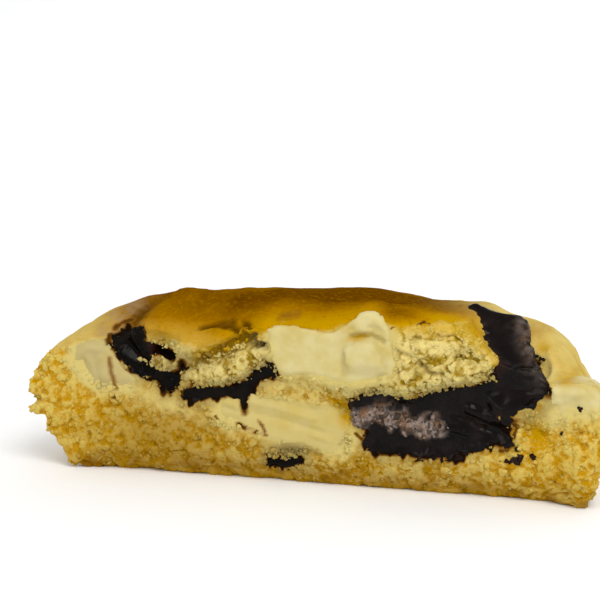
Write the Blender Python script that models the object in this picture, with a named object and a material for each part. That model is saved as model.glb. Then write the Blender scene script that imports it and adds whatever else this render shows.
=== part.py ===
"""Half of a thick, soft-baked cookie with dark and white chocolate, cut through its middle.

Lengths are metres. X runs along the cut, Y goes back into the cookie and Z is up. The cookie rests on
Z = 0 and its cut side faces -Y. The origin is on the base, under the middle of the half.
The lists of places on the cut side are in millimetres, as X and Z.
"""

import math

import bmesh
import bpy
from mathutils import Matrix, Vector, noise

MM = 0.001

# The whole cookie
CUT_Y = -19 * MM
CENTRE_X = 0.3 * MM
RADIUS = 47.4 * MM
BULGE_HEIGHT = 13 * MM
CROWN_HEIGHT = 28.6 * MM
BASE_RADIUS = 42.6 * MM
BASE_LEAN = 2.6 * MM
SHOULDER_POWER = 2.4
SIDE_BOW = 1.6
BASE_RING_SHARE = 0.6
# The outline's lumps behind the cut: how many round it, where they start and their share of the radius
LUMPS = ((3, 0.9, 0.010), (7, 0.0, 0.008))
SEGMENTS = 120
RINGS = 40

# The crust sinks towards the cut: how far, by X, and how deep into the cookie it starts
CRUST_SINK = (
    (-47, 0.0), (-39, 0.9), (-33, 2.4), (-27, 4.0), (-20, 5.1), (-14, 5.6), (-9, 5.0), (-4.5, 3.2),
    (3, 3.6), (11, 1.4), (21, 1.0), (27, 0.7), (32, 4.0), (39, 3.4), (44, 0.4), (49, 0.0),
)
SINK_REACH = 14 * MM
SINK_LIMIT = 1.2
# Where the crust swells or falls away: X, distance behind the cut, half width, half depth, rise
SWELLINGS = (
    (-28, 12, 5.5, 12, 2.2), (-36, 12, 7, 12, 2.2), (37, 14, 7, 11, 2.8), (46, 13, 4, 14, -3.2),
    (2, 38, 20, 9, 0.8),
)

# The raised slab of crust between the two furrows
SLAB_MIDDLE_X = 1.5 * MM
SLAB_HALF_WIDTH = 28 * MM
SLAB_DEPTH = 30 * MM
SLAB_RISE = 1.5 * MM
SLAB_EDGE = (0.75, 0.5)
LIFT_START = 2.5
CRUST_WAVE = 0.7 * MM
CRUST_WAVE_LENGTH = 13 * MM

# The cut side, in millimetres: the slab's broken underside, what stands out and what is hollow.
# A pair is where a change starts and how far it takes.
SLAB_UNDERSIDE = ((-24, 16), (-12, 16), (-4, 20), (0, 18.5), (8, 15.5), (16, 16), (26, 18.3), (32, 19.5))
SLAB_PROUD = 1.5
SLAB_UNDERSIDE_EDGE = 1.6
SLAB_LEFT = (-22, 4)
SLAB_RIGHT = (32.5, 3)
RIGHT_END_PROUD = 3.0
RIGHT_END = (36, 11)
FOOT_SETBACK = 3.2
FOOT_HEIGHT = 6.0
FOOT_LEFT = (-42, 10)
CRUMB_RELIEF = 0.55
CRUMB_SIZE = 3.2
# X, Z, half length, half height, turn in degrees, depth
HOLLOWS = (
    (-11.5, 21.3, 5.2, 1.0, 24, 4.5),
    (-23.8, 20.6, 3.0, 2.2, -10, 4.0),
    (7.6, 12.6, 1.5, 1.5, 0, 3.5),
    (-18.0, 19.0, 2.0, 1.6, -30, 3.0),
    (27.0, 22.5, 4.0, 0.7, -8, 1.2),
)
CUT_STEP = 1.6
CUT_REACH_X = 58
CUT_TOP = 40
CUT_BOTTOM = -8
CUT_CLEAR = 70 * MM

# The chocolate
GAP = 0.3 * MM
SOCKET_CLEAR = 24 * MM
OUTLINE_STEPS = 3
# The bar stands in the right furrow and leans back: its outline is in its own leaning plane, from its foot
BAR_FOOT = (32, 1, 17)
BAR_LEAN = math.radians(37)
BAR_THICKNESS = 4.6 * MM
BAR_OUTLINE = (
    (-8.2, 14.6), (-3, 13.7), (1.6, 12.9), (2.9, 10.2), (5.1, 4.2), (7.2, 0), (3.5, -2.6), (-1.5, -2.6),
    (-3.6, 4), (-6.4, 9.5),
)
FURROW_SHIFT = 2.6 * MM
FURROW_DEPTH = 9 * MM
FURROW_BEHIND = 1.8 * MM

# Name, set back from the crumb round it, depth behind the cut, outline as X and Z
DARK_PIECES = (
    ("dark_chocolate_left", 0.5, 8, (
        (-33, 21.8), (-31.2, 22.9), (-28.8, 23.9), (-27, 24), (-26.8, 21.4), (-25.4, 18.5), (-22, 17.2),
        (-20.2, 19.2), (-18.9, 18.6), (-20.4, 16), (-22.3, 13.7), (-25.1, 15.6), (-28.8, 16.6), (-31.6, 19.8),
    )),
    ("dark_chocolate_arc", 0.8, 7, (
        (-19.7, 14.4), (-14.9, 15.4), (-9.9, 16.4), (-6.7, 18.7), (-4.4, 20), (-4.1, 18), (-7.6, 15.9),
        (-8.9, 13.6), (-9.3, 11.6), (-10.3, 13.4), (-13.5, 13.7), (-19.2, 12.7),
    )),
    ("dark_chocolate_base", 0.6, 4, ((-5.9, 3.7), (-3.1, 4.9), (0.6, 4.5), (-1.6, 3.1), (-4, 2.5))),
    ("dark_chocolate_right", 1.2, 11, (
        (8.6, 14.4), (13.7, 16.3), (16.8, 14.9), (21, 16.7), (26.5, 17.8), (31.2, 19.4), (35.4, 20.6),
        (38.6, 19.2), (39.4, 16.9), (37.4, 16.5), (32.8, 14.4), (31.6, 12.8), (33, 11), (33.9, 9.4),
        (30.2, 8.6), (27.6, 7.4), (22.3, 5.9), (17.9, 6), (10.2, 7.5), (10.6, 9.6), (9.2, 11.4),
    )),
)
WHITE_PIECES = (
    ("white_chocolate_left", 0.1, 7.2, (
        (-38.9, 19.8), (-37.7, 21.1), (-34.9, 21.6), (-33, 21.3), (-30.6, 18.4), (-28.4, 16.4), (-28.8, 14.4),
        (-31.5, 14.1), (-34.4, 13.8), (-36.2, 15.2), (-38, 16.8), (-38.6, 18.6),
    )),
    ("white_chocolate_top", 0.3, 9, (
        (-4.4, 25.9), (-0.1, 26.5), (4.2, 25.9), (7.6, 27.2), (12.2, 28.6), (13.8, 27.2), (14.9, 23.6),
        (15.1, 19.5), (12.7, 18.5), (7.6, 17.6), (1.4, 18.6), (-3.3, 18.7), (-3.9, 21.8),
    )),
    ("white_chocolate_middle", 0.2, 8.4, (
        (-12.6, 13.2), (-9.5, 14.3), (-6.5, 13.9), (-0.7, 13.2), (5.6, 12.2), (7.6, 10.3), (8.4, 8),
        (6.6, 6.3), (1.4, 6.8), (-5.2, 7.5), (-9.7, 9.1), (-12.6, 9.2), (-13.6, 10.7),
    )),
    ("white_chocolate_right", 0.1, 4, (
        (38.6, 18.4), (41.4, 19.3), (44.4, 19.4), (46.8, 17.8), (46.7, 15.8), (42.7, 14.8), (39, 13.1),
        (37, 14.2), (37.4, 16.2),
    )),
)

# Chunks that show in the crust behind the cut: name, X, Y, Z, width, length, height, turn in degrees
BACK_CHUNKS = (
    ("dark_chocolate_back", -14, 14, 21.4, 12, 9, 7, 24),
    ("white_chocolate_back", 17, 12, 21.6, 11, 10, 7, -17),
)
BACK_LEAN = math.radians(-24)
CHUNK_ROUNDING = 1.4 * MM

SHARP_ANGLE = math.radians(40)
DOUGH_COLOUR = (0.66, 0.47, 0.12)
DARK_COLOUR = (0.018, 0.011, 0.008)
WHITE_COLOUR = (0.74, 0.64, 0.34)


def clear_scene():
    for thing in list(bpy.data.objects):
        bpy.data.objects.remove(thing)


def new_collection(name):
    collection = bpy.data.collections.new(name)
    bpy.context.scene.collection.children.link(collection)
    return collection


def make_material(name, colour, roughness):
    material = bpy.data.materials.new(name)
    material.use_nodes = True
    shader = material.node_tree.nodes["Principled BSDF"]
    shader.inputs["Base Color"].default_value = (*colour, 1)
    shader.inputs["Roughness"].default_value = roughness
    shader.inputs["Metallic"].default_value = 0
    return material


def smooth_step(value):
    """0 below 0, 1 above 1, and an even curve between."""
    t = min(1.0, max(0.0, value))
    return t * t * (3 - 2 * t)


def read_profile(places, x):
    """The height of a profile of (x, height) places at x, on straight lines."""
    for (x0, h0), (x1, h1) in zip(places, places[1:]):
        if x <= x1:
            t = min(1.0, max(0.0, (x - x0) / (x1 - x0)))
            return h0 + (h1 - h0) * t
    return places[-1][1]


def crust_lift(x, y):
    """What the slab, the waves and the sunken edge add to the dome at x and y."""
    depth = y - CUT_Y
    across = abs((x - SLAB_MIDDLE_X) / SLAB_HALF_WIDTH)
    slab = 1 - smooth_step((across**4 + (depth / SLAB_DEPTH) ** 4 - SLAB_EDGE[0]) / SLAB_EDGE[1])
    sink = read_profile(CRUST_SINK, x / MM) * MM
    sink *= min(SINK_LIMIT, max(0.0, 1 - depth / SINK_REACH)) ** 2
    lift = slab * SLAB_RISE - sink + noise.noise(Vector((x, y, 0)) / CRUST_WAVE_LENGTH) * CRUST_WAVE
    for middle_x, middle_depth, half_width, half_depth, rise in SWELLINGS:
        across = (x / MM - middle_x) / half_width
        behind = (depth / MM - middle_depth) / half_depth
        lift += rise * MM * math.exp(-across * across - behind * behind)
    return lift


def cookie_point(direction):
    """Where a point of the unit sphere lands on the whole cookie."""
    around = math.atan2(direction.y, direction.x)
    out = Vector((math.cos(around), math.sin(around), 0))
    lumps = sum(share * math.sin(count * around + start) for count, start, share in LUMPS)
    reach = RADIUS * (1 + lumps * math.sin(around) ** 2)
    base_reach = BASE_RADIUS + BASE_LEAN * math.cos(around)
    if direction.z >= 0:
        level = math.hypot(direction.x, direction.y)
        share = level ** (2 / SHOULDER_POWER)
        height = BULGE_HEIGHT + (CROWN_HEIGHT - BULGE_HEIGHT) * direction.z
        place = out * reach * share + Vector((CENTRE_X, CUT_Y, height))
        place.z += crust_lift(place.x, place.y) * smooth_step(direction.z * LIFT_START)
        return place
    down = -math.asin(max(-1.0, direction.z)) / (math.pi / 2)
    if down <= BASE_RING_SHARE:
        t = down / BASE_RING_SHARE
        bow = math.cos(t * math.pi / 2) ** SIDE_BOW
        side = base_reach + (reach - base_reach) * bow
        return out * side + Vector((CENTRE_X, CUT_Y, BULGE_HEIGHT * (1 - t)))
    share = (1 - down) / (1 - BASE_RING_SHARE)
    return out * base_reach * share + Vector((CENTRE_X, CUT_Y, 0))


def face_relief(x, z):
    """How far behind the cut plane the broken face lies at x and z, all in millimetres."""
    foot = max(0.0, 1 - max(z, 0) / FOOT_HEIGHT) ** 1.5
    back = FOOT_SETBACK * foot * smooth_step((x - FOOT_LEFT[0]) / FOOT_LEFT[1])
    back -= RIGHT_END_PROUD * smooth_step((x - RIGHT_END[0]) / RIGHT_END[1])
    over = smooth_step((z - read_profile(SLAB_UNDERSIDE, x)) / SLAB_UNDERSIDE_EDGE + 0.5)
    over *= smooth_step((x - SLAB_LEFT[0]) / SLAB_LEFT[1])
    over *= smooth_step((SLAB_RIGHT[0] - x) / SLAB_RIGHT[1])
    back -= SLAB_PROUD * over
    for middle_x, middle_z, half_length, half_height, turn, depth in HOLLOWS:
        c, s = math.cos(math.radians(turn)), math.sin(math.radians(turn))
        along = ((x - middle_x) * c + (z - middle_z) * s) / half_length
        across = ((z - middle_z) * c - (x - middle_x) * s) / half_height
        back += depth * math.exp(-along * along - across * across)
    back += CRUMB_RELIEF * noise.fractal(Vector((x, 0, z)) / CRUMB_SIZE, 1.0, 2.0, 2)
    return back


def make_object(name, mesh, collection, material):
    made = bpy.data.objects.new(name, mesh)
    mesh.materials.append(material)
    collection.objects.link(made)
    return made


def mesh_of(shape, name):
    bmesh.ops.recalc_face_normals(shape, faces=shape.faces)
    mesh = bpy.data.meshes.new(name)
    shape.to_mesh(mesh)
    shape.free()
    return mesh


def whole_cookie():
    shape = bmesh.new()
    bmesh.ops.create_uvsphere(shape, u_segments=SEGMENTS, v_segments=RINGS, radius=1)
    for vert in shape.verts:
        vert.co = cookie_point(vert.co)
    return mesh_of(shape, "dough")


def cut_tool_mesh():
    """A block in front of the cookie, whose back is the broken face."""
    shape = bmesh.new()
    columns = round(2 * CUT_REACH_X / CUT_STEP)
    rows = round((CUT_TOP - CUT_BOTTOM) / CUT_STEP)
    bmesh.ops.create_grid(shape, x_segments=columns, y_segments=rows, size=0.5)
    height = CUT_TOP - CUT_BOTTOM
    for vert in shape.verts:
        x = vert.co.x * 2 * CUT_REACH_X
        z = CUT_BOTTOM + (vert.co.y + 0.5) * height
        vert.co = Vector((x, CUT_Y / MM + face_relief(x, z), z)) * MM
    front = bmesh.ops.extrude_face_region(shape, geom=shape.faces[:])["geom"]
    for vert in front:
        if isinstance(vert, bmesh.types.BMVert):
            vert.co.y = CUT_Y - CUT_CLEAR
    return mesh_of(shape, "cut_tool")


def outline_mesh(name, places, front, back, widen=0, place=None):
    """A closed smooth outline, filled and drawn back in Y from front to back, then put in place."""
    curve = bpy.data.curves.new(name, "CURVE")
    curve.dimensions = "2D"
    curve.fill_mode = "BOTH"
    curve.resolution_u = OUTLINE_STEPS
    curve.extrude = (back - front) / 2
    spline = curve.splines.new("BEZIER")
    spline.bezier_points.add(len(places) - 1)
    for i, (point, at) in enumerate(zip(spline.bezier_points, places)):
        along = (Vector(places[(i + 1) % len(places)]) - Vector(places[i - 1])).normalized()
        outward = Vector((-along.y, along.x))
        point.co = (*(Vector(at) * MM + outward * widen), 0)
        point.handle_left_type = point.handle_right_type = "AUTO"
    spline.use_cyclic_u = True
    holder = bpy.data.objects.new(name, curve)
    upright = Matrix.Translation((0, (front + back) / 2, 0)) @ Matrix.Rotation(math.pi / 2, 4, "X")
    holder.matrix_world = (place or Matrix.Identity(4)) @ upright
    bpy.context.scene.collection.objects.link(holder)
    bpy.context.view_layer.update()
    mesh = bpy.data.meshes.new_from_object(holder.evaluated_get(bpy.context.evaluated_depsgraph_get()))
    mesh.transform(holder.matrix_world)
    bpy.data.objects.remove(holder)
    shape = bmesh.new()
    shape.from_mesh(mesh)
    bmesh.ops.remove_doubles(shape, verts=shape.verts, dist=1e-6)
    return mesh_of(shape, name)


def box_mesh(name, size, place, rounding, widen):
    """A rounded block of this size, put in place by a matrix and grown by widen all round."""
    shape = bmesh.new()
    bmesh.ops.create_cube(shape, size=1)
    for vert in shape.verts:
        vert.co = Vector([at * (side + 2 * widen) for at, side in zip(vert.co, size)])
    bmesh.ops.bevel(shape, geom=shape.edges[:], offset=rounding, segments=2, profile=0.5, affect="EDGES")
    bmesh.ops.transform(shape, matrix=place, verts=shape.verts)
    return mesh_of(shape, name)


def add_boolean(target, tool, operation, solver="EXACT"):
    modifier = target.modifiers.new(tool.name, "BOOLEAN")
    modifier.operation = operation
    modifier.object = tool
    modifier.solver = solver


def add_tool(name, mesh, collection):
    tool = bpy.data.objects.new(name, mesh)
    tool.hide_render = True
    tool.display_type = "WIRE"
    collection.objects.link(tool)
    return tool


def add_bar(dough, pool, tools):
    """Joins the leaning bar to its pool and cuts its socket, open towards the cut where it shows."""
    foot = Vector(BAR_FOOT) * MM + Vector((0, CUT_Y, 0))
    place = Matrix.Translation(foot) @ Matrix.Rotation(-BAR_LEAN, 4, "X")
    bar = add_tool("bar", outline_mesh("bar", BAR_OUTLINE, 0, BAR_THICKNESS, 0, place), tools)
    add_boolean(pool, bar, "UNION")
    hole = outline_mesh("bar_socket", BAR_OUTLINE, -GAP, BAR_THICKNESS + GAP, GAP, place)
    socket = add_tool("bar_socket", hole, tools)
    cut_dough(dough, socket)
    ahead = place @ Matrix.Translation((FURROW_SHIFT, 0, 0))
    furrow = outline_mesh("furrow", BAR_OUTLINE, -FURROW_DEPTH, FURROW_BEHIND, 0, ahead)
    cut_dough(dough, add_tool("furrow", furrow, tools))
    return socket


def cut_dough(dough, tool):
    """The exact solver loses the dough where the furrow meets the bar's socket, so the other one cuts it."""
    add_boolean(dough, tool, "DIFFERENCE", "MANIFOLD")


def add_melted_pieces(pieces, finish, cookie, tools, dough, over=()):
    """The chocolate at the cut, each piece in its own socket, and cut away where others lie over it."""
    sockets = []
    for name, set_back, depth, places in pieces:
        middle = sum((Vector(place) for place in places), Vector((0, 0))) / len(places)
        front = CUT_Y + (face_relief(*middle) + set_back) * MM
        back = CUT_Y + depth * MM
        piece = make_object(name, outline_mesh(name, places, front, back), cookie, finish)
        for tool in over:
            add_boolean(piece, tool, "DIFFERENCE")
        socket = outline_mesh(name + "_socket", places, CUT_Y - SOCKET_CLEAR, back + GAP, GAP)
        sockets.append(add_tool(name + "_socket", socket, tools))
        cut_dough(dough, sockets[-1])
    return sockets


def add_back_chunks(cookie, tools, dough, finishes):
    """Whole chunks half sunk in the crust behind the cut."""
    for name, x, y, z, width, length, height, turn in BACK_CHUNKS:
        size = Vector((width, length, height)) * MM
        turned = Matrix.Rotation(BACK_LEAN, 4, "X") @ Matrix.Rotation(math.radians(turn), 4, "Z")
        place = Matrix.Translation(Vector((x, y, z)) * MM) @ turned
        chunk = box_mesh(name, size, place, CHUNK_ROUNDING, 0)
        make_object(name, chunk, cookie, finishes[name.split("_")[0]])
        socket = box_mesh(name + "_socket", size, place, CHUNK_ROUNDING, GAP)
        cut_dough(dough, add_tool(name + "_socket", socket, tools))


def build():
    clear_scene()
    cookie = new_collection("half_cookie")
    tools = new_collection("cutting_tools")
    dark = make_material("melted_dark_chocolate", DARK_COLOUR, 0.25)
    white = make_material("melted_white_chocolate", WHITE_COLOUR, 0.45)
    dough = make_object("dough", whole_cookie(), cookie, make_material("baked_dough", DOUGH_COLOUR, 0.8))
    cut_dough(dough, add_tool("cut_tool", cut_tool_mesh(), tools))
    sockets = add_melted_pieces(DARK_PIECES, dark, cookie, tools, dough)
    sockets.append(add_bar(dough, bpy.data.objects["dark_chocolate_right"], tools))
    add_melted_pieces(WHITE_PIECES, white, cookie, tools, dough, over=sockets)
    add_back_chunks(cookie, tools, dough, {"dark": dark, "white": white})
    for piece in cookie.objects:
        piece.data.shade_smooth()
        piece.data.set_sharp_from_angle(angle=SHARP_ANGLE)


build()
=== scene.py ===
# %% [markdown]
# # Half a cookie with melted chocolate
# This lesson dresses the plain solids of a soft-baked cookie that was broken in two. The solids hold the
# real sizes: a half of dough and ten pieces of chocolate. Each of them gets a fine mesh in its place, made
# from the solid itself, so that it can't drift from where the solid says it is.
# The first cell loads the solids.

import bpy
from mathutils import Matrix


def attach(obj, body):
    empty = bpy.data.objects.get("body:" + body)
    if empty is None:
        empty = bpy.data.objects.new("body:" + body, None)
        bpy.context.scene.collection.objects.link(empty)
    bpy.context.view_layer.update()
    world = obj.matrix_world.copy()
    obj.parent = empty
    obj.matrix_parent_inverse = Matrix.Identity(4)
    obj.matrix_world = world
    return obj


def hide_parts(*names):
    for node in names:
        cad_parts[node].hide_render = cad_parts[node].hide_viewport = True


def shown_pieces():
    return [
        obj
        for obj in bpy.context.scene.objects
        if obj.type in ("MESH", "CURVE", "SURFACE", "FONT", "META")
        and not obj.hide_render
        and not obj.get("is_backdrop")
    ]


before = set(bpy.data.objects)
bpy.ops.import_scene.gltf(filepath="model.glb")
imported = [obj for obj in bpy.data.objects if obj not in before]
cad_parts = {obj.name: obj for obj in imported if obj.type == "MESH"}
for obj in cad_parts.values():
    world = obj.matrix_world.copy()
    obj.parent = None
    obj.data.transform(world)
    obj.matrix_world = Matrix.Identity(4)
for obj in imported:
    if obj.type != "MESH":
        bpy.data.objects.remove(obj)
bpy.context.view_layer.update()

import math
from itertools import product

import bmesh
import bpy
import numpy as np
from mathutils import Vector
from mathutils.bvhtree import BVHTree

MM = 0.001
CUT_Y = -19.0
print("solids:", ", ".join(sorted(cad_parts)))

# %% [markdown]
# ## Camera
# The cookie was shot from close by, a little from its right and a little from above. A lens is chosen for
# the distance: near cameras make the near end larger, and the lens then sets how much of it fills the
# frame. The camera looks at a place above the cut's middle, because the cookie sits low in the picture.

# %% Set up the camera
CAMERA_AZIMUTH = math.radians(17)
CAMERA_ELEVATION = math.radians(12)
CAMERA_DISTANCE = 0.26
TARGET = Vector((0, CUT_Y * MM, 0.014))
AIM_ABOVE_TARGET = 0.01572
LENS = 99.06


def put_in_scene(name, data):
    """A new object that shows this mesh, camera or lamp."""
    thing = bpy.data.objects.new(name, data)
    bpy.context.scene.collection.objects.link(thing)
    return thing


back = Vector((
    math.sin(CAMERA_AZIMUTH) * math.cos(CAMERA_ELEVATION),
    -math.cos(CAMERA_AZIMUTH) * math.cos(CAMERA_ELEVATION),
    math.sin(CAMERA_ELEVATION),
))
right = Vector((0, 0, 1)).cross(back).normalized()
camera_data = bpy.data.cameras.new("camera")
camera_data.lens = LENS
camera_data.clip_start = 0.01
camera = put_in_scene("camera", camera_data)
camera.location = TARGET + back * CAMERA_DISTANCE
aim = TARGET + back.cross(right) * AIM_ABOVE_TARGET
camera.rotation_euler = (aim - camera.location).to_track_quat("-Z", "Y").to_euler()
bpy.context.scene.camera = camera
print("camera at", [round(side, 4) for side in camera.location])

# %% [markdown]
# ## Floor and light
# The picture is a plain studio one, so the floor is a pale sheet that curves up behind, with no line where
# it ends. Large soft lamps give crumb its small soft shadows. The view transform is Standard, because
# food colours go dull under a film-like one.

# %% Lay the floor
FLOOR_FRONT = -0.9
FLOOR_BACK = 0.5
FLOOR_HALF_WIDTH = 1.4
SWEEP_RADIUS = 0.35
SWEEP_HEIGHT = 1.0
SWEEP_STEPS = 24


def new_finish(name, **constants):
    """A material with its Principled shader, whose sockets that stay the same all over are set here."""
    finish = bpy.data.materials.new(name)
    finish.use_nodes = True
    shader = finish.node_tree.nodes["Principled BSDF"]
    for socket, value in constants.items():
        shader.inputs[socket.replace("_", " ")].default_value = value
    return finish, finish.node_tree, shader


def studio_sweep():
    turn = [math.pi / 2 * step / SWEEP_STEPS for step in range(SWEEP_STEPS + 1)]
    line = [(FLOOR_FRONT, 0.0)]
    line += [(FLOOR_BACK + SWEEP_RADIUS * math.sin(a), SWEEP_RADIUS * (1 - math.cos(a))) for a in turn]
    line.append((FLOOR_BACK + SWEEP_RADIUS, SWEEP_HEIGHT))
    shape = bmesh.new()
    rows = [[shape.verts.new((x, y, z)) for x in (-FLOOR_HALF_WIDTH, FLOOR_HALF_WIDTH)] for y, z in line]
    for (a, b), (c, d) in zip(rows, rows[1:]):
        shape.faces.new((a, b, d, c))
    mesh = bpy.data.meshes.new("studio_floor")
    shape.to_mesh(mesh)
    shape.free()
    mesh.shade_smooth()
    floor = put_in_scene("studio_floor", mesh)
    paper, *_ = new_finish("studio_paper", Roughness=0.9, Base_Color=(0.95, 0.955, 0.97, 1))
    mesh.materials.append(paper)
    floor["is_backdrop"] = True
    return floor


print("floor:", studio_sweep().name)

# %% Hang the lamps
# Name, place, what it is turned to, size, watts, colour
LAMPS = (
    ("window_lamp", (0.32, -0.45, 0.55), TARGET, 0.4, 3.6, (1.0, 0.98, 0.93)),
    ("front_lamp", (-0.40, -0.60, 0.35), TARGET, 0.4, 1.1, (1.0, 0.98, 0.95)),
    ("backdrop_lamp", (0, 0.25, 0.7), (0, 0.85, 0.45), 0.4, 2.5, (1.0, 1.0, 1.0)),
)
SKY_STRENGTH = 0.6


def hang_lamp(name, place, aim, size, watts, colour):
    lamp = bpy.data.lights.new(name, "AREA")
    lamp.size = size
    lamp.energy = watts
    lamp.color = colour
    holder = put_in_scene(name, lamp)
    holder.location = place
    holder.rotation_euler = (Vector(aim) - Vector(place)).to_track_quat("-Z", "Y").to_euler()


for lamp in LAMPS:
    hang_lamp(*lamp)
sky = bpy.data.worlds.new("studio_sky")
sky.use_nodes = True
sky.node_tree.nodes["Background"].inputs["Color"].default_value = (1, 1, 1, 1)
sky.node_tree.nodes["Background"].inputs["Strength"].default_value = SKY_STRENGTH
bpy.context.scene.world = sky
bpy.context.scene.view_settings.view_transform = "Standard"
print(len(LAMPS), "lamps hang over the cookie")

# %% [markdown]
# ## Working with points
# Crumb is too fine and too uneven to model by hand. It is easier to take all the points of a mesh as one
# array, work out how far each should move, and put them back. These helpers read a mesh's points and
# normals, and give smooth random values at any point: random numbers on a coarse lattice, blended between.

# %% Helpers for points and noise
LATTICE = 32


def points_of(mesh):
    points = np.empty(len(mesh.vertices) * 3)
    mesh.vertices.foreach_get("co", points)
    return points.reshape(-1, 3) / MM


def normals_of(mesh):
    normals = np.empty(len(mesh.vertices) * 3)
    mesh.vertices.foreach_get("normal", normals)
    return normals.reshape(-1, 3)


def put_points(mesh, points):
    mesh.vertices.foreach_set("co", (points * MM).ravel())
    mesh.update()


def store(mesh, name, values):
    """Keeps one number for each point under a name that the material can read."""
    attribute = mesh.attributes.new(name, "FLOAT", "POINT")
    attribute.data.foreach_set("value", np.clip(values, 0, 1).astype(np.float32))


def rise(values, low, high):
    """0 up to low, 1 from high on, and a smooth slope between."""
    t = np.clip((values - low) / (high - low), 0, 1)
    return t * t * (3 - 2 * t)


def fall(values, low, high):
    return 1 - rise(values, low, high)


def soft_noise(points, size, seed):
    """Smooth random values from -1 to 1 at each point, with bumps of about this size."""
    lattice = np.random.default_rng(seed).uniform(-1, 1, (LATTICE,) * 3)
    at = points / size
    cell = np.floor(at).astype(int)
    part = at - cell
    part = part * part * (3 - 2 * part)
    total = np.zeros(len(points))
    for corner in product((0, 1), repeat=3):
        share = np.prod(np.where(corner, part, 1 - part), axis=1)
        total += share * lattice[tuple(((cell + corner) % LATTICE).T)]
    return total


def layered_noise(points, size, seed, layers=3):
    return sum(soft_noise(points, size / 2**i, seed + i) / 2**i for i in range(layers)) / 1.5


# %% [markdown]
# ## The dough's mesh
# The solid's faces are large and uneven. A voxel remesh gives it an even skin of small squares, as if it
# were cast again on a fine grid. Modifiers do that, and the mesh that they leave is kept in their place.

# %% Helpers for casting a mesh again
def cast_again(piece, *steps):
    """Runs modifiers on a piece in turn, each a type with its settings, and keeps the mesh that they make."""
    for kind, settings in steps:
        modifier = piece.modifiers.new(kind.lower(), kind)
        for name, value in settings.items():
            setattr(modifier, name, value)
    bpy.context.view_layer.update()
    mesh = bpy.data.meshes.new_from_object(piece.evaluated_get(bpy.context.evaluated_depsgraph_get()))
    mesh.name = piece.name
    mesh.materials.clear()
    piece.modifiers.clear()
    piece.data = mesh
    return piece


def voxels(size):
    return "REMESH", {"mode": "VOXEL", "voxel_size": size * MM}


def swollen(growth):
    return "DISPLACE", {"strength": growth * MM, "mid_level": 0}


def relaxed(rounds, share=0.5):
    return "SMOOTH", {"iterations": rounds, "factor": share}


# %% [markdown]
# ## How far from chocolate
# Much of a cookie's look depends on how near the chocolate is: crumb beside it is stained, sunk or smeared.
# A search tree over a solid's faces finds the nearest place for any point. Whether a point is inside is
# harder, because normals mislead at sharp edges. A ray straight up tells it: it leaves a closed surface an
# odd number of times if it started inside.

# %% Helpers for distances
# The crust's edge and the underside of the raised slab on the cut, as X and Z in millimetres
CRUST_EDGE = (
    (-48, 15.5), (-45.6, 17.6), (-38.9, 21.6), (-33.2, 22.2), (-22.7, 22.6), (-14.9, 21.8), (-9.4, 22.9),
    (-4.4, 25.6), (3.1, 25.1), (7.3, 26.3), (10.9, 27.9), (14.7, 26.6), (21.3, 27.4), (27.1, 27.4),
    (30.1, 24.4), (32.2, 20.8), (33.5, 18.8), (39, 18.6), (44.2, 18.7), (48, 16),
)
SLAB_UNDERSIDE = (
    (-29, 18), (-24, 16.5), (-12, 16), (-4, 20), (0, 18.5), (8, 15.5), (16, 16), (26, 18.3), (32, 19.5),
)
CHOCOLATE = sorted(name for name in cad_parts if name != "dough")
FAR = 6.0
PROBE_Y = CUT_Y + 2
UP = Vector((0, 0, 1))


def profile(places, x):
    return np.interp(x, *zip(*places))


def surface_of(*meshes):
    """A search tree over the faces of these meshes, in millimetres."""
    corners, faces = [], []
    for mesh in meshes:
        faces += [tuple(at + len(corners) for at in face.vertices) for face in mesh.polygons]
        corners += [vert.co / MM for vert in mesh.vertices]
    return BVHTree.FromPolygons(corners, faces)


def is_inside(probe, surface):
    """Whether a ray straight up passes through the closed surface an odd number of times."""
    crossings = 0
    place = surface.ray_cast(probe, UP)[0]
    while place is not None:
        crossings += 1
        place = surface.ray_cast(place + UP * 0.001, UP)[0]
    return crossings % 2 == 1


def signed_distance(points, surface):
    """How far each point is from a closed surface, and below 0 inside it, in millimetres.

    Chocolate sits a little behind the crumb, so a point on the cut is measured at PROBE_Y, where both are.
    """
    distances = np.full(len(points), FAR)
    for at, (x, y, z) in enumerate(points):
        probe = Vector((x, max(y, PROBE_Y), z))
        place, normal, _, distance = surface.find_nearest(probe, FAR)
        if place is not None:
            inner = (probe - place).dot(normal) < 0 and is_inside(probe, surface)
            distances[at] = -distance if inner else distance
    return distances


def solids_of(kind):
    return surface_of(*(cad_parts[name].data for name in CHOCOLATE if name.startswith(kind)))


# %% [markdown]
# ## Casting the dough again
# The sockets of the chocolate are filled first, to just behind each front. Melted chocolate grips the crumb,
# and a gap of even a third of a millimetre would draw a dark line round every piece. Only the broken side
# needs the finest squares. So the faces near the cut are split once, and those where crumb shows once more,
# which keeps the count of triangles in hand.

# %% Fill the sockets and cast the dough
DOUGH_VOXEL = 0.83
FILLER_GROWTH = 0.45
FILLER_SET_BACK = 0.3


def filled_dough():
    """The dough with its sockets filled to just behind the chocolate's fronts, as one soup of faces."""
    soup = bmesh.new()
    soup.from_mesh(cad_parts["dough"].data)
    for node in (name for name in CHOCOLATE if not name.endswith("_back")):
        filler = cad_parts[node].data.copy()
        for vert in filler.vertices:
            vert.co += Vector((vert.normal.x, 0, vert.normal.z)) * FILLER_GROWTH * MM
            vert.co.y += FILLER_SET_BACK * MM
            vert.co.z -= FILLER_SET_BACK * MM
        soup.from_mesh(filler)
    mesh = bpy.data.meshes.new("cookie_dough")
    soup.to_mesh(mesh)
    soup.free()
    return put_in_scene("cookie_dough", mesh)


dough = cast_again(filled_dough(), voxels(DOUGH_VOXEL), relaxed(1))
print("dough:", len(dough.data.vertices), "points")

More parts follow.
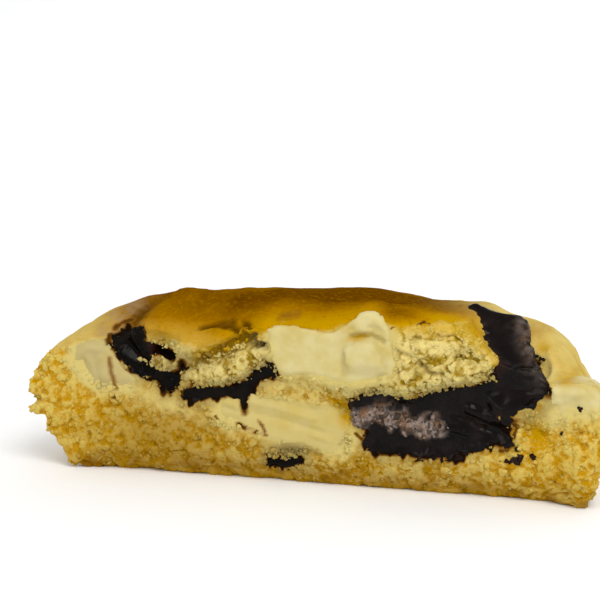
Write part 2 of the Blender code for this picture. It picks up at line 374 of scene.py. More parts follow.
# %% Smooth the steps
# The solid has steps at both ends of the cut and beside the bar
END_ROUNDS = 60
ENDS_SMOOTHED_FROM = 38
BESIDE_BAR = Vector((38.2, -12.4, 20.8))
BESIDE_REACH = 2.2


def ends_of(piece):
    """A step that smooths the points round both ends of the cut and beside the bar, as baking would."""
    group = piece.vertex_groups.new(name="ends")
    for vert in piece.data.vertices:
        x, y, _ = vert.co / MM
        share = min(1, max(0, (abs(x) - ENDS_SMOOTHED_FROM) / 3)) * min(1, max(0, (y - CUT_Y - 1.5) / 2))
        share *= y < CUT_Y + 12
        share = max(share, min(1, 2 - (vert.co / MM - BESIDE_BAR).length / BESIDE_REACH))
        if share > 0:
            group.add([vert.index], share, "REPLACE")
    return "SMOOTH", {"iterations": END_ROUNDS, "factor": 0.5, "vertex_group": group.name}


cast_again(dough, ends_of(dough))
print("smoothed in", END_ROUNDS, "rounds")

# %% Split the faces where crumb shows
# How far behind the cut the faces are split once, and how far twice
FINE_BEHIND = 7.0
CUT_BEHIND = 4.5
# Faces this deep under chocolate, or turned this far from the cut between both ends, show no crumb
UNDER_FILMS = -0.6
CUT_NORMAL = -0.25
ENDS_FROM = 43.0


def split_faces(mesh, chosen):
    """Splits each face that the test picks into four."""
    shape = bmesh.new()
    shape.from_mesh(mesh)
    picked = [face for face in shape.faces if chosen(face.calc_center_median() / MM, face.normal)]
    edges = list({edge for face in picked for edge in face.edges})
    bmesh.ops.subdivide_edges(shape, edges=edges, cuts=1, use_grid_fill=True)
    shape.to_mesh(mesh)
    shape.free()


split_faces(dough.data, lambda middle, normal: middle.y < CUT_Y + FINE_BEHIND)
every_chocolate = surface_of(*(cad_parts[name].data for name in CHOCOLATE))


def shows_crumb(middle, normal):
    """Whether a face lies where crumb shows: on the cut, under the crust and not deep under chocolate."""
    if middle.y > CUT_Y + CUT_BEHIND or not 0.2 < middle.z < profile(CRUST_EDGE, middle.x) + 0.6:
        return False
    if normal.y > CUT_NORMAL and abs(middle.x) < ENDS_FROM:
        return False
    return signed_distance([middle], every_chocolate)[0] > UNDER_FILMS


split_faces(dough.data, shows_crumb)
print("dough:", len(dough.data.vertices), "points")

# %% [markdown]
# ## Where things are on the dough
# A few measures steer both the shape and the colour. Two say how far a point is from dark and from white
# chocolate. One says whether it lies on the broken side or on the crust: on the broken side a point is
# crumb if it lies under the crust's edge.

# %% Measure the dough
SLAB_LEFT, SLAB_RIGHT = -28.0, 32.0


def near_cut(y, depth, fade):
    """1 on the cut and for this many millimetres behind it, less the last few, where it fades to 0."""
    return rise(CUT_Y + depth - y, 0, fade)


def dough_noise(size, seed, layers=3):
    return layered_noise(base_points, size, seed, layers)


base_points = points_of(dough.data)
base_normals = normals_of(dough.data)
X, Y, Z = base_points.T
facing_cut = rise(-base_normals[:, 1], 0.25, 0.7) * near_cut(Y, 8, 2)
facing_cut = np.maximum(facing_cut, near_cut(Y, 5.5 + 2.4 * dough_noise(3.0, 39), 4))
dark_distance = signed_distance(base_points, solids_of("dark"))
white_distance = signed_distance(base_points, solids_of("white"))
under_edge = profile(CRUST_EDGE, X) - Z
below_crust = rise(under_edge + 0.7 * dough_noise(1.6, 41), -0.3, 0.7)
crumb_share = facing_cut * below_crust
on_slab = rise(Z - profile(SLAB_UNDERSIDE, X), -0.8, 0.8)
on_slab *= rise(X, SLAB_LEFT - 1, SLAB_LEFT + 1) * rise(-X, -SLAB_RIGHT - 1, 1 - SLAB_RIGHT)
print("crumb points:", int((crumb_share > 0.5).sum()), "of", len(X))

# %% [markdown]
# ## Crumb
# Broken cookie is a pile of soft grains, stuck together, with pores between them. Seen from the front it is
# a height map, so it can be built like one: start deep, drop thousands of small domes on it at random
# places, and keep the highest at each spot. Small domes give the fine crumb low down, and large flat ones
# with small ones on them give the coarse flakes of the slab. The places are bent by noise first, so that
# no dome stays round.

# %% Helpers for maps of grains
MAP_STEP = 0.1
MAP_LEFT, MAP_RIGHT = -60.0, 60.0
MAP_BOTTOM, MAP_TOP = -4.0, 34.0
MAP_COLUMNS = int((MAP_RIGHT - MAP_LEFT) / MAP_STEP)
MAP_ROWS = int((MAP_TOP - MAP_BOTTOM) / MAP_STEP)
# Smallest and largest radius, how many to the square centimetre, height by radius, roundness, lift up or down
FINE_GRAINS = (0.22, 0.65, 460, 0.65, 0.45, 0.13)
FLAKES = (0.6, 1.6, 75, 0.35, 0.2, 0.4)
SLAB_FLAKES = (0.4, 1.2, 150, 0.35, 0.25, 0.3)
PORES = (0.25, 0.8, 30, 0.9, 0.6, 0.0)


def grain_map(grains, seed, deepest):
    """Heights of the highest dome at each spot of the cut, on a grid of small cells."""
    smallest, largest, density, dome, roundness, lift = grains
    rng = np.random.default_rng(seed)
    count = int(density * (MAP_RIGHT - MAP_LEFT) * (MAP_TOP - MAP_BOTTOM) / 100)
    heights = np.full((MAP_ROWS, MAP_COLUMNS), deepest)
    places = rng.uniform((0, 0), (MAP_COLUMNS, MAP_ROWS), (count, 2))
    radii = smallest + (largest - smallest) * rng.random(count) ** 2
    lifts = rng.uniform(-lift, lift, count)
    widths = rng.uniform(0.8, 1.25, count)
    for (column, row), radius, up, width in zip(places, radii, lifts, widths):
        reach = int(radius * width / MAP_STEP) + 1
        left, low = max(0, int(column) - reach), max(0, int(row) - reach)
        window = heights[low:int(row) + reach + 1, left:int(column) + reach + 1]
        rows, columns = np.ogrid[low:low + window.shape[0], left:left + window.shape[1]]
        across = ((columns - column) / width) ** 2 + ((rows - row) * width) ** 2
        share = 1 - across * (MAP_STEP / radius) ** 2
        bump = np.where(share > 0, up + dome * radius * np.maximum(share, 0) ** roundness, deepest)
        np.maximum(window, bump, out=window)
    return heights


def read_map(heights, x, z):
    """The height at x and z, blended between the four nearest cells."""
    column = np.clip((x - MAP_LEFT) / MAP_STEP, 0, MAP_COLUMNS - 2)
    row = np.clip((z - MAP_BOTTOM) / MAP_STEP, 0, MAP_ROWS - 2)
    c, r = column.astype(int), row.astype(int)
    u, v = column - c, row - r
    low = heights[r, c] * (1 - u) + heights[r, c + 1] * u
    high = heights[r + 1, c] * (1 - u) + heights[r + 1, c + 1] * u
    return low * (1 - v) + high * v


# %% Pile up the grains
BEND = 0.45

# At both ends the map is led round the corner, or its grains would be drawn out into stripes
around = np.sign(X) * np.maximum(Y - CUT_Y, 0) * rise(np.abs(X), 30, 42)
wavy_x = X + BEND * dough_noise(1.3, 11)
bent_x = wavy_x + around
bent_z = Z + BEND * dough_noise(1.3, 17)
grains = read_map(grain_map(FINE_GRAINS, 1, -0.15), bent_x, bent_z)
flakes = read_map(grain_map(FLAKES, 2, -0.9), bent_x, bent_z)
slab_flakes = read_map(grain_map(SLAB_FLAKES, 4, -0.8), bent_x, bent_z)
pores = read_map(grain_map(PORES, 3, 0.0), bent_x, bent_z)
print("flakes from", round(flakes.min(), 2), "to", round(flakes.max(), 2), "mm")

# %% [markdown]
# ## Marks on the cut
# Noise alone gives a crumb that could come from any cookie. This one is known by its marks: gaps between
# layers, large flakes, cracks, smears and stains. Each is a line or a turned oval on the cut, and these
# helpers say how near to it a point lies.

# %% Helpers for marks on the cut
def patch(x, z, middle_x, middle_z, half_length, half_height, turn=0.0):
    """1 in the middle of a turned oval on the cut, fading to 0 outside it."""
    c, s = math.cos(math.radians(turn)), math.sin(math.radians(turn))
    along = ((x - middle_x) * c + (z - middle_z) * s) / half_length
    across = ((z - middle_z) * c - (x - middle_x) * s) / half_height
    return np.exp(-along**2 - across**2)


def from_line(x, z, places):
    """How far each point on the cut is from a line through these places, in millimetres."""
    nearest = np.full(len(x), 100.0)
    for (start_x, start_z), (end_x, end_z) in zip(places, places[1:]):
        run, climb = end_x - start_x, end_z - start_z
        share = np.clip(((x - start_x) * run + (z - start_z) * climb) / (run * run + climb * climb), 0, 1)
        nearest = np.minimum(nearest, np.hypot(x - start_x - share * run, z - start_z - share * climb))
    return nearest


def strongest(x, z, middles):
    """The highest of several patches at each point."""
    return np.max([patch(x, z, *middle) for middle in middles], axis=0)


BEVEL = 0.45


def marked(x, z, marks, bevel=BEVEL):
    """Heights left by ridges (above 0) and grooves (below 0): each a height, a half width and its line."""
    total = np.zeros(len(x))
    for height, half_width, places in marks:
        total += height * fall(from_line(x, z, places), max(0.05, half_width - bevel), half_width)
    return total


def inside(x, z, corners):
    """How far each point lies inside a convex outline given clockwise, and below 0 outside it."""
    depth = np.full(len(x), 100.0)
    for (start_x, start_z), (end_x, end_z) in zip(corners, corners[1:] + corners[:1]):
        run, climb = end_x - start_x, end_z - start_z
        depth = np.minimum(depth, ((x - start_x) * climb - (z - start_z) * run) / math.hypot(run, climb))
    return depth


# %% List where crumb and chocolate lie
# Lines on the cut, as X and Z: where the bar of dark chocolate runs into its pool, and the slab's right end
POOL_SEAM = ((31.4, 19.8), (35.4, 21), (37.4, 20.2))
SLAB_END = ((27.1, 27.4), (30.1, 24.4), (32.2, 20.8))
# Where white chocolate has smeared the crumb: X, Z, half length, half height, turn in degrees
SMEARS = (
    (-23.5, 12.5, 8, 1.6, -14), (-2, 16.4, 7, 1.2, 3), (-13.5, 12.6, 4, 1.4, -20), (38.5, 13.4, 4, 1, -10),
)
# Where crumb has run over the chocolate's edges
OVERRUN = (
    (36.6, 13.6, 2.6, 1.1, 12), (38.3, 14.9, 1.1, 1.2, 0), (39.2, 15.4, 1, 0.9, 0),
    (38.9, 20.4, 1.3, 1, -30), (35.3, 14.2, 1.9, 0.8, 15), (42.5, 13.6, 4.5, 1.1, 8),
    (-32.5, 13.9, 3.5, 0.9, 0), (-38.2, 17.2, 1, 2, 10), (-2.5, 5.3, 3, 0.7, 8), (-14, 16.2, 5, 0.8, 14),
    (8, 7, 1, 1.6, 0), (-12.6, 9.6, 2, 1, 0),
)
# The top of the large white chunk, above which a thin golden crust covers it
GOLD_EDGE = (
    (-50, 40), (-5.2, 30), (-4.6, 25.5), (-0.2, 26), (4.2, 24.9), (5.8, 25), (7.7, 26.2), (9.2, 27.6),
    (10, 40),
)
# Where the crumb is golden and damp
GOLDEN = (
    (3, 26.3, 4, 0.8, -3), (9.6, 24.6, 1.8, 0.5, 10), (6.6, 13.6, 1.6, 1, -30), (7.4, 11.6, 1.2, 1.6, 0),
    (37.2, 23.2, 1.2, 0.6, -20), (41.4, 19.6, 1.6, 0.7, 0), (-14.6, 20.9, 3.6, 0.9, 20),
    (-10.4, 22.7, 3, 0.7, 28), (37.5, 11.5, 1.5, 2, 20),
)
# Golden spots on the crust behind the cut, seen from above: X, Y, half length, half width, turn
CRUST_SPOTS = (
    (37.2, -12.2, 1.1, 0.9, 0), (41.2, -17.9, 1.7, 0.9, 0), (43.4, -9, 1.2, 0.9, 30),
    (-39.5, -12, 1.4, 0.9, 0),
)
print("patches:", len(SMEARS), "smeared,", len(OVERRUN), "overrun and", len(GOLDEN), "golden")

# %% List gaps, flakes, cracks and folds
# Cracks in the crust along the slab's edge
CRACKS = (
    ((-16.6, 24.6), (-14.3, 25.2), (-11.7, 25.4), (-10.1, 24.8), (-8.5, 23.6), (-6.2, 22.9)),
    ((-9.6, 25.6), (-8.2, 25.2)),
)
# Height, half width and line: gaps between the slab's layers and its largest flakes
DOUGH_MARKS = (
    (-1.6, 0.9, ((-28, 20.6), (-25.6, 20.4), (-23.4, 19.6), (-22.2, 19.2))),
    (-0.8, 0.7, ((-16.3, 19.7), (-14.1, 20.9), (-8.6, 23), (-7.2, 23.8))),
    (-1, 0.8, ((-9.4, 23.4), (-7.2, 22.8), (-5.2, 22.5))),
    (-0.7, 0.5, ((14.6, 22.8), (16.4, 22.9), (18.2, 22.3))),
    (-0.7, 0.5, ((19.8, 21), (21.5, 20), (23.7, 19.7))),
    (-0.6, 0.4, ((22.2, 25.5), (24.5, 25.7), (26.7, 24.8))), (-0.7, 0.5, ((18.8, 25), (19.4, 25))),
    (0.8, 1.6, ((21.5, 21.9), (22.1, 21.5))), (0.7, 1.5, ((24.5, 20.6), (25.2, 20.3))),
    (0.6, 1.1, ((17.7, 20.9), (18.2, 20.6))), (0.6, 1.1, ((19.2, 23.3), (20, 23.1))),
    (0.5, 1, ((-6.1, 21.4), (-5, 22.3))), (0.5, 1.1, ((-19.2, 21.7), (-17.2, 21.9))),
    (0.7, 1.2, ((-24.6, 18.6), (-23.8, 17.9))), (-1.2, 1.1, ((-48, 11.4), (-45.6, 11.3))),
    (-1, 1.1, ((-48, 7.6), (-44.6, 7.9))), (-0.7, 0.9, ((-45, 4.2), (-42.8, 4.4))),
)
# Where the crust swells up, seen from above: height, X, Y, half length, half width
CRUST_SWELLS = ((1.2, 26, -4, 7, 4), (1.2, 38.2, -12.6, 1.4, 1.6))
# Folds of the crust behind the cut, seen from above, as height, half width and line
CREASE = ((-29, -19), (-28.4, -14), (-26, -7))
CRUST_MARKS = ((-0.9, 1.4, CREASE), (-0.5, 2.4, CREASE), (0.5, 3, ((-24, -18), (-21, -10))))
print("marks:", len(DOUGH_MARKS), "gaps and flakes,", len(CRACKS), "cracks,", len(CRUST_MARKS), "folds")

# %% [markdown]
# ## Shaping the crumb
# Each point moves along its normal by what the maps say, fully on the broken side and not at all on the
# crust. White chocolate has run into the crumb round it, so the crumb is smoothed there. The slab's
# crumb is calm below the crust and coarse at its lower edge.

# %% Raise the crumb
def under_gold(x, z):
    """1 where the thin golden crust covers the large white chunk."""
    return rise(z - profile(GOLD_EDGE, x), -0.1, 0.5)


def overrun(x, z):
    """How far crumb or crust has run over the chocolate at each place on the cut, from 0 to 1."""
    return np.maximum(strongest(x, z, OVERRUN), under_gold(x, z))


chocolate_distance = np.minimum(dark_distance, white_distance)
smeared = fall(white_distance + 0.9 * dough_noise(2.5, 23), 0.0, 2.0)
smeared = np.maximum(smeared, 0.75 * strongest(wavy_x, bent_z, SMEARS))
golden = strongest(wavy_x, bent_z, GOLDEN)
golden = np.maximum(golden, 1.3 * strongest(X, Y, CRUST_SPOTS) * (Z > 15))
smeared *= 1 - golden
pore_share = 0.3 + 0.7 * rise(np.abs(X + 2), 26, 36)
low_crumb = 0.52 * grains + 0.26 * flakes + 0.3 * dough_noise(3.5, 29) - 0.3 * pore_share * pores
slab_crumb = 0.42 * slab_flakes + 0.36 * grains + 0.12 * dough_noise(0.7, 33)
slab_crumb *= 0.5 + 0.5 * rise(under_edge + 0.8 * dough_noise(2.5, 61), 1, 5)
low_crumb += 0.8 * rise(np.abs(X), 41, 44) * dough_noise(2.0, 35)
relief = low_crumb + (slab_crumb - low_crumb) * on_slab
relief *= crumb_share * (1 - 0.6 * smeared)
relief += marked(wavy_x, bent_z, DOUGH_MARKS) * np.maximum(facing_cut, near_cut(Y, 7, 2))
relief -= 0.3 * golden * (1 - crumb_share)
print("crumb stands out by up to", round(float(relief.max()), 2), "mm")

# %% [markdown]
# ## Shaping the crust
# Baked crust is smooth, with low waves and a fine grain. It cracks along the slab's edge, folds beside the
# cup of chocolate at the left, and swells where the dough rose behind the bar. All of this fades out where
# crumb begins.

# %% Crack and wave the crust
CRUST_WAVE = 0.2
CRUST_GRAIN = 0.06
CRACK_DEPTH = 0.7

cracked = np.min([from_line(wavy_x, bent_z, line) for line in CRACKS], axis=0)
cracked = fall(cracked + 0.3 * dough_noise(0.9, 97), 0.1, 0.7)
cracked *= near_cut(Y, 9, 2)
relief -= CRACK_DEPTH * cracked
crust_relief = CRUST_WAVE * (dough_noise(4.0, 31) + dough_noise(11.0, 32))
crust_relief += CRUST_GRAIN * dough_noise(0.8, 37)
crust_relief += 0.3 * patch(X, Y, -31.8, -15.5, 3.0, 5.0) * soft_noise(base_points * (1, 0.3, 1), 0.9, 38)
for height, *middle in CRUST_SWELLS:
    crust_relief += height * patch(X, Y, *middle) * rise(Z, 17, 19)
crust_relief += marked(X, Y, CRUST_MARKS) * (Z > 12) * (1 - facing_cut)
relief += (1 - crumb_share) * crust_relief * rise(Z, 0, 2)
print("crust moves by up to", round(float(np.abs(crust_relief).max()), 2), "mm")

# %% [markdown]
# ## Room for the chocolate
# Under the chocolate the dough steps back, so that no grain comes through it, and further back where the
# bar runs into its pool, so that they join. The dough's lower edge is worn, and the slab's right end is worn
# back too, which shows more of the bar behind it. Then all points move at once.

# %% Step back and move the points
UNDER_CHOCOLATE = 0.3
UNDER_POOL = 0.7
AT_SEAM = 1.2
BASE_WORN = 1.7
SLAB_WORN = 1.1

covered = 0.45 * (1 + dough_noise(1.4, 59))
covered += 2.0 * overrun(wavy_x, bent_z)
covered *= near_cut(Y, 5, 2) * rise(chocolate_distance, -2.8, -1.8)
relief *= rise(chocolate_distance + covered, -0.6, 0.3)
relief -= UNDER_CHOCOLATE * fall(chocolate_distance + covered, -0.9, -0.3)
relief -= UNDER_POOL * fall(dark_distance + covered, -2.4, -1.2) * near_cut(Y, 6, 2)
at_seam = fall(from_line(X, Z, POOL_SEAM), 0.8, 1.6) * near_cut(Y, 8, 2)
relief -= AT_SEAM * at_seam
moved = base_points + base_normals * relief[:, None]
worn = BASE_WORN * rise(layered_noise(base_points * (1, 1, 0), 2.6, 49), -0.1, 0.6)
moved[:, 2] += worn * near_cut(Y, 4, 3) * rise(2.5 - Z, 0, 2.5)
at_slab_end = fall(from_line(X, Z, SLAB_END), 0.8, 3.5)
moved[:, 0] -= SLAB_WORN * at_slab_end * rise(Z, 21.5, 24) * near_cut(Y, 9, 4)
moved[:, 2] = np.maximum(moved[:, 2], 0)
put_points(dough.data, moved)
dough.data.shade_smooth()
print("dough moved by up to", round(float(np.abs(relief).max()), 2), "mm")

# %% [markdown]
# ## Traces of chocolate
# Dark chocolate leaves brown streaks and grey halos on crumb, crust and white chocolate. Few things tell
# more that it was liquid. The streaks are lines on the cut, frayed by noise. Two helpers keep the traces off
# the crust that closes over the pool beside the bar. What lies further back shows further right and higher
# up in the photo, so they lean with it.

# %% List the stains
# Half width, strength and line
STAINS = (
    (0.45, 0.55, ((-32.4, 18.8), (-32, 16), (-31.4, 13.9))),
    (0.50, 0.7, ((-31.8, 23.8), (-30.4, 24.7), (-29.4, 25.1))), (0.35, 0.6, ((-31.8, 12.7), (-31, 12.4))),
    (0.36, 0.8, ((-10.5, 9.3), (-9, 8.8), (-7.4, 8.2))), (0.30, 0.6, ((-7, 10.2), (-6.4, 9.4), (-6, 8.4))),
    (0.25, 0.6, ((-6.6, 8), (-5.4, 7.8))), (0.25, 0.6, ((-14.2, 10.4), (-13.9, 9.8))),
    (0.55, 0.7, ((-10, 14.6), (-9.5, 12.6), (-9.3, 11.4))), (0.35, 0.8, ((-23.8, 15), (-23, 13.4))),
    (0.25, 0.7, ((-22.2, 14.6), (-21.8, 13.2))), (0.22, 0.6, ((-5.6, 17.2), (-4.4, 17))),
    (0.60, 0.45, ((-3.4, 27.2), (-1, 27.4))), (0.22, 0.6, ((-3.4, 18.2), (-2.8, 17.6))),
    (0.30, 0.7, ((33.4, 13), (34.4, 12), (34, 10.4))), (0.25, 0.7, ((34.2, 9.2), (33, 8.2), (31.6, 8))),
    (0.30, 0.7, ((8.6, 13.6), (8.2, 12.6))), (0.28, 0.7, ((9, 9.2), (10.4, 7.4), (12.6, 6.6))),
    (0.20, 0.75, ((19, 27.2), (20, 27.7), (20.9, 27.5))), (0.16, 0.6, ((14.8, 26.2), (15.5, 26.4))),
)
# Where dark chocolate has only greyed the crumb: X, Z, half length, half height, turn, strength
GREY_HALOS = (
    (-1.5, 6, 4.4, 1.3, 0, 0.95), (11.5, 16.2, 4.5, 0.9, 0, 0.5), (-25.5, 15.8, 3, 1, 0, 0.7),
    (24, 17.6, 7, 0.7, 12, 0.5), (-17, 18.8, 5.5, 1.6, 12, 0.4), (-7, 22.8, 2.8, 0.8, -8, 1),
)
print(len(STAINS), "stains and", len(GREY_HALOS), "grey halos")

# %% Helpers for stains
LEAN_RIGHT, LEAN_UP = 0.31, 0.22


def shaken(points, amount, size, seed):
    """X and Z of each point, moved a little by noise, so that what is drawn there gets ragged edges."""
    return (points[:, axis] + amount * layered_noise(points, size, seed + axis) for axis in (0, 2))


def stained(points):
    """How strongly dark chocolate has stained each point near the cut."""
    x, z = shaken(points, 0.3, 1.2, 81)
    frayed = 0.15 * soft_noise(points, 0.5, 85)
    shares = [
        strength * fall(from_line(x, z, line) + frayed, 0, 2.2 * half_width)
        for half_width, strength, line in STAINS
    ]
    return np.maximum(np.max(shares, axis=0), 0) * near_cut(points[:, 1], 4, 1)


def beyond_bar(points):
    """How far right of the bar and of the pool's corner each point shows, in millimetres."""
    x, y, z = points.T
    behind = y - CUT_Y
    seen_x, seen_z = (x + LEAN_RIGHT * behind) * (1 - behind / 300), z + LEAN_UP * behind
    beyond = seen_x - np.maximum(36.2, 38.95 - 0.44 * (seen_z - 18.75))
    return np.clip(beyond, 0, 5) * ((x > 34) & (behind < 13) & (seen_z > 18.3))


def behind_hook(points):
    """1 where the pool's body shows to the right of its bar, in the furrow that the crust closes."""
    x, y, z = points.T
    behind = y - CUT_Y
    seen_x, seen_z = x + LEAN_RIGHT * behind, z + LEAN_UP * behind
    return rise(seen_x, 38.2, 39.2) * rise(behind, 2, 3) * rise(seen_z, 18.5, 19.5)


# %% [markdown]
# ## What the finish needs to know
# A material sees only the spot that it colours. It can't tell the top of a grain from a pit, or how far the
# chocolate is. So each point keeps a few numbers from 0 to 1, which the material reads by name and blends
# over each face.

# %% Measure tops, gaps and cocoa
tops = 0.9 * grains + 0.25 * flakes + 0.3 * dough_noise(1.1, 45)
tops = np.where(on_slab > 0.5, 0.6 * slab_flakes + 0.7 * grains, tops)
tops = tops - 0.8 * pore_share * pores - 0.6 * golden
edge_noise = dough_noise(1.2, 43)
# Chocolate has run down into the crumb in short streaks, so this noise is drawn out along Z
runs = np.maximum(soft_noise(base_points * (1.3, 1.0, 0.3), 0.9, 87), 0) * (1 - on_slab)
cocoa = fall(dark_distance + 0.4 * edge_noise - 1.1 * runs, -0.3, 0.6)
cocoa *= 1 - 0.9 * overrun(wavy_x, bent_z)
closed_over = np.maximum(behind_hook(base_points), rise(beyond_bar(base_points), 0, 0.4))
cocoa *= 1 - closed_over
cocoa *= 1 - patch(X, Z, 37.2, 15.2, 3.4, 1.5, 20)
cocoa = np.maximum(np.maximum(cocoa, stained(base_points)), at_seam * (dark_distance < 0.6) * (X < 37.5))
# Painted shade: a gap above the cup is painted dark with the cocoa colours where it lies deeper
painted_gap_shade = patch(X, Z, -25.2, 20.2, 3.6, 1.0, -10) * rise(moved[:, 1] - CUT_Y, 0.3, 1.0)
cocoa = np.maximum(cocoa, 1.4 * painted_gap_shade) * near_cut(Y, 6, 1)
gap = rise(moved[:, 1] - CUT_Y, 1.2, 3.6) * facing_cut * below_crust
print("stained points:", int((cocoa > 0.5).sum()))

# %% Measure the halos
halo = 0.5 - 0.5 * rise(dark_distance + 0.6 * dough_noise(1.6, 47), 0.2, 1.8)
halo *= 1 - closed_over
for *middle, strength in GREY_HALOS:
    halo = np.maximum(halo, strength * patch(wavy_x, bent_z, *middle))
print("greyed points:", int((halo > 0.3).sum()))

# %% Measure how brown the crust is, and where shade is painted
# Painted shade in the fold beside the cup and in the cracks of the crust
crease = fall(from_line(X, Y, CREASE) + 0.5 * edge_noise, 0.4, 2.4)
crease *= rise(Z, 21, 23) * rise(-8 - Y, 0, 6)
crease = np.maximum(crease, cracked)
# From its edge to its crown the crust gets browner, partly baked and partly painted shade, and it stays
# pale low on both lobes
mottled = dough_noise(6.0, 55, 5)
crown = -under_edge / (7 - 5 * rise(X, 2, 18)) + np.maximum(Y - CUT_Y - 1, 0) / 20
crown = np.minimum(crown, (Z - 19) / 11 + 0.25 * mottled)
crown += 0.3 * patch(X, Y, 8, -8, 9, 5) - 0.3 * patch(X, Y, 19, -16.5, 4.5, 2.5)
pale = fall(Z - 0.5 * np.maximum(np.abs(X) - 28, 0) + 2.0 * mottled, 17.5, 25.5)
pale = np.maximum(pale, (1.1 + 0.5 * mottled) * patch(X, Y, 32, -5, 8, 7) * (Z > 20))
# Golden just under the crust, painted shade on the crumb low down, and dull in the fold beside the cup
lip = fall(under_edge + 0.8 * mottled, 0, 3.2) * rise(X, -20, -12) * fall(X, 30, 34)
dusk = patch(X, Z, -24, 6.5, 15, 6.5) + 0.6 * patch(X, Z, 2, 3.0, 14, 3.0) * mottled
bloom = patch(X, Y, -31.8, -15.5, 3.0, 6.0) * rise(Z, 19, 21) * (1 - crumb_share)
bloom *= rise(dough_noise(1.5, 51), -0.6, 0.4)
print("crown from", round(float(crown.min()), 1), "to", round(float(crown.max()), 1))

# %% Keep the numbers with the dough
kept = {
    "crumb": crumb_share,  # crumb, not crust
    "raised": rise(tops, 0.08, 0.5),  # tops of grains
    "cream": smeared * crumb_share,  # smeared with white chocolate
    "cocoa": cocoa,  # stained by dark chocolate, and painted shade in a gap above the cup
    "golden": golden * near_cut(Y, 12, 1),  # golden and damp
    "halo": halo * crumb_share,  # greyed beside dark chocolate
    "slab": on_slab,  # crumb of the raised slab
    "gap": gap,  # deep between layers
    "crown": crown,  # crust browned towards its crown, partly baked and partly painted shade
    "bloom": bloom,  # dull fold beside the cup
    "pale": pale,  # crust low on both lobes
    "lip": lip * crumb_share,  # golden crumb just under the crust
    "dusk": dusk * crumb_share,  # painted shade on the crumb low down
    "crease": crease,  # painted shade in folds and cracks
}
for name, values in kept.items():
    store(dough.data, name, values)
print("kept:", ", ".join(kept))

# %% [markdown]
# ## The dough's finish
# Colour is mixed in layers, as a painter would: golden pits, paler tops of grains, brown crust, browner
# base, painted shade in folds, in cracks and low down, and then what the chocolate left behind. Each layer
# reads one of the numbers kept above. A little subsurface light makes the crumb look moist and not like
# plaster. A coat can't be undone, so their order matters: stains of cocoa come last.

# %% Helpers for finishes
# A Mix node has sockets for numbers, vectors and colours. These are its share and the ones for colours.
MIX_SHARE, MIX_UNDER, MIX_OVER, MIX_COLOUR = 0, 6, 7, 2


def add_node(tree, kind, links=(), **settings):
    """A node of this kind, with its settings, and links or values for its inputs."""
    node = tree.nodes.new("ShaderNode" + kind)
    for name, value in settings.items():
        setattr(node, name, value)
    for socket, source in dict(links).items():
        if hasattr(source, "is_output"):
            tree.links.new(source, node.inputs[socket])
        else:
            node.inputs[socket].default_value = source
    return node


def read_number(tree, name):
    return add_node(tree, "Attribute", attribute_name=name).outputs["Fac"]


def place_on(tree):
    return add_node(tree, "TexCoord").outputs["Object"]


def speckle(tree, size, detail=3.0):
    """Noise with spots of this size in millimetres."""
    links = {"Vector": place_on(tree), "Scale": 1 / (size * MM), "Detail": detail}
    return add_node(tree, "TexNoise", links).outputs["Fac"]


def between(tree, value, low, high, bottom=0.0, top=1.0):
    """The value turned into bottom at low and top at high, with nothing outside them."""
    links = {"Value": value, "From Min": low, "From Max": high, "To Min": bottom, "To Max": top}
    return add_node(tree, "MapRange", links).outputs["Result"]


def layer(tree, share, under, over):
    """The over colour laid on the under colour, as much as share says."""
    sockets = {MIX_SHARE: share, MIX_UNDER: under, MIX_OVER: over}
    return add_node(tree, "Mix", sockets, data_type="RGBA").outputs[MIX_COLOUR]


def paint(tree, colour, coats):
    """Lays coats on a colour in turn, and returns the last.

    Each coat is a colour and what decides where it lies: the name of a kept number, the size of spots in
    millimetres, or a socket. Three numbers may follow: where that starts, where it is full, and how much
    the coat then covers.
    """
    for over, source, *limits in coats:
        start, full, most = limits or (0, 1, 1)
        if isinstance(source, str):
            source = read_number(tree, source)
        elif isinstance(source, (int, float)):
            source = speckle(tree, source)
        colour = layer(tree, between(tree, source, start, full, 0, most), colour, over)
    return colour


def calculate(tree, operation, *values):
    return add_node(tree, "Math", dict(enumerate(values)), operation=operation).outputs[0]


def light_of(part):
    return part / 255 / 12.92 if part < 10.3 else ((part / 255 + 0.055) / 1.055) ** 2.4


def rgb(red, green, blue):
    """A colour as a painter reads it from a screen, 0 to 255, turned into light."""
    return light_of(red), light_of(green), light_of(blue), 1


def add_bump(tree, shader, height, depth):
    """Fine relief too small for the mesh: depth in millimetres."""
    bump = add_node(tree, "Bump", {"Height": height, "Distance": depth * MM, "Strength": 1.0})
    tree.links.new(bump.outputs["Normal"], shader.inputs["Normal"])


# %% Name the dough's colours
PIT_GOLD = rgb(164, 122, 0)
CRUMB_TOP = rgb(196, 174, 98)
# Towards both ends the crumb is brighter, partly its own translucent gold and partly painted light
END_PIT = rgb(184, 136, 0)
END_TOP = rgb(204, 180, 92)
SLAB_PIT = rgb(146, 116, 8)
SLAB_TOP = rgb(214, 196, 126)
LIP_CRUST = rgb(186, 142, 0)
SLAB_CRUST = rgb(152, 104, 0)
# Brown of the crown, partly baked and partly painted shade
CROWN_CRUST = rgb(92, 54, 0)
# The left lobe's pale crust is a little darker than the right's: painted shade
PALE_LEFT = rgb(190, 166, 94)
PALE_RIGHT = rgb(204, 183, 110)
LIP_CRUMB = rgb(196, 160, 48)
# Painted shade for the crumb low down, most at the left
PAINTED_LOW_SHADE = rgb(142, 104, 0)
BASE_BROWN = rgb(124, 80, 6)
CREAM = rgb(200, 182, 112)
HALO = rgb(108, 92, 54)
FLECK = rgb(222, 202, 128)
GAP_SHADE = rgb(172, 132, 12)
COCOA = rgb(24, 15, 8)
COCOA_FRINGE = rgb(130, 84, 20)
DAMP_GOLD = rgb(178, 138, 0)
BLOOM = rgb(150, 126, 96)
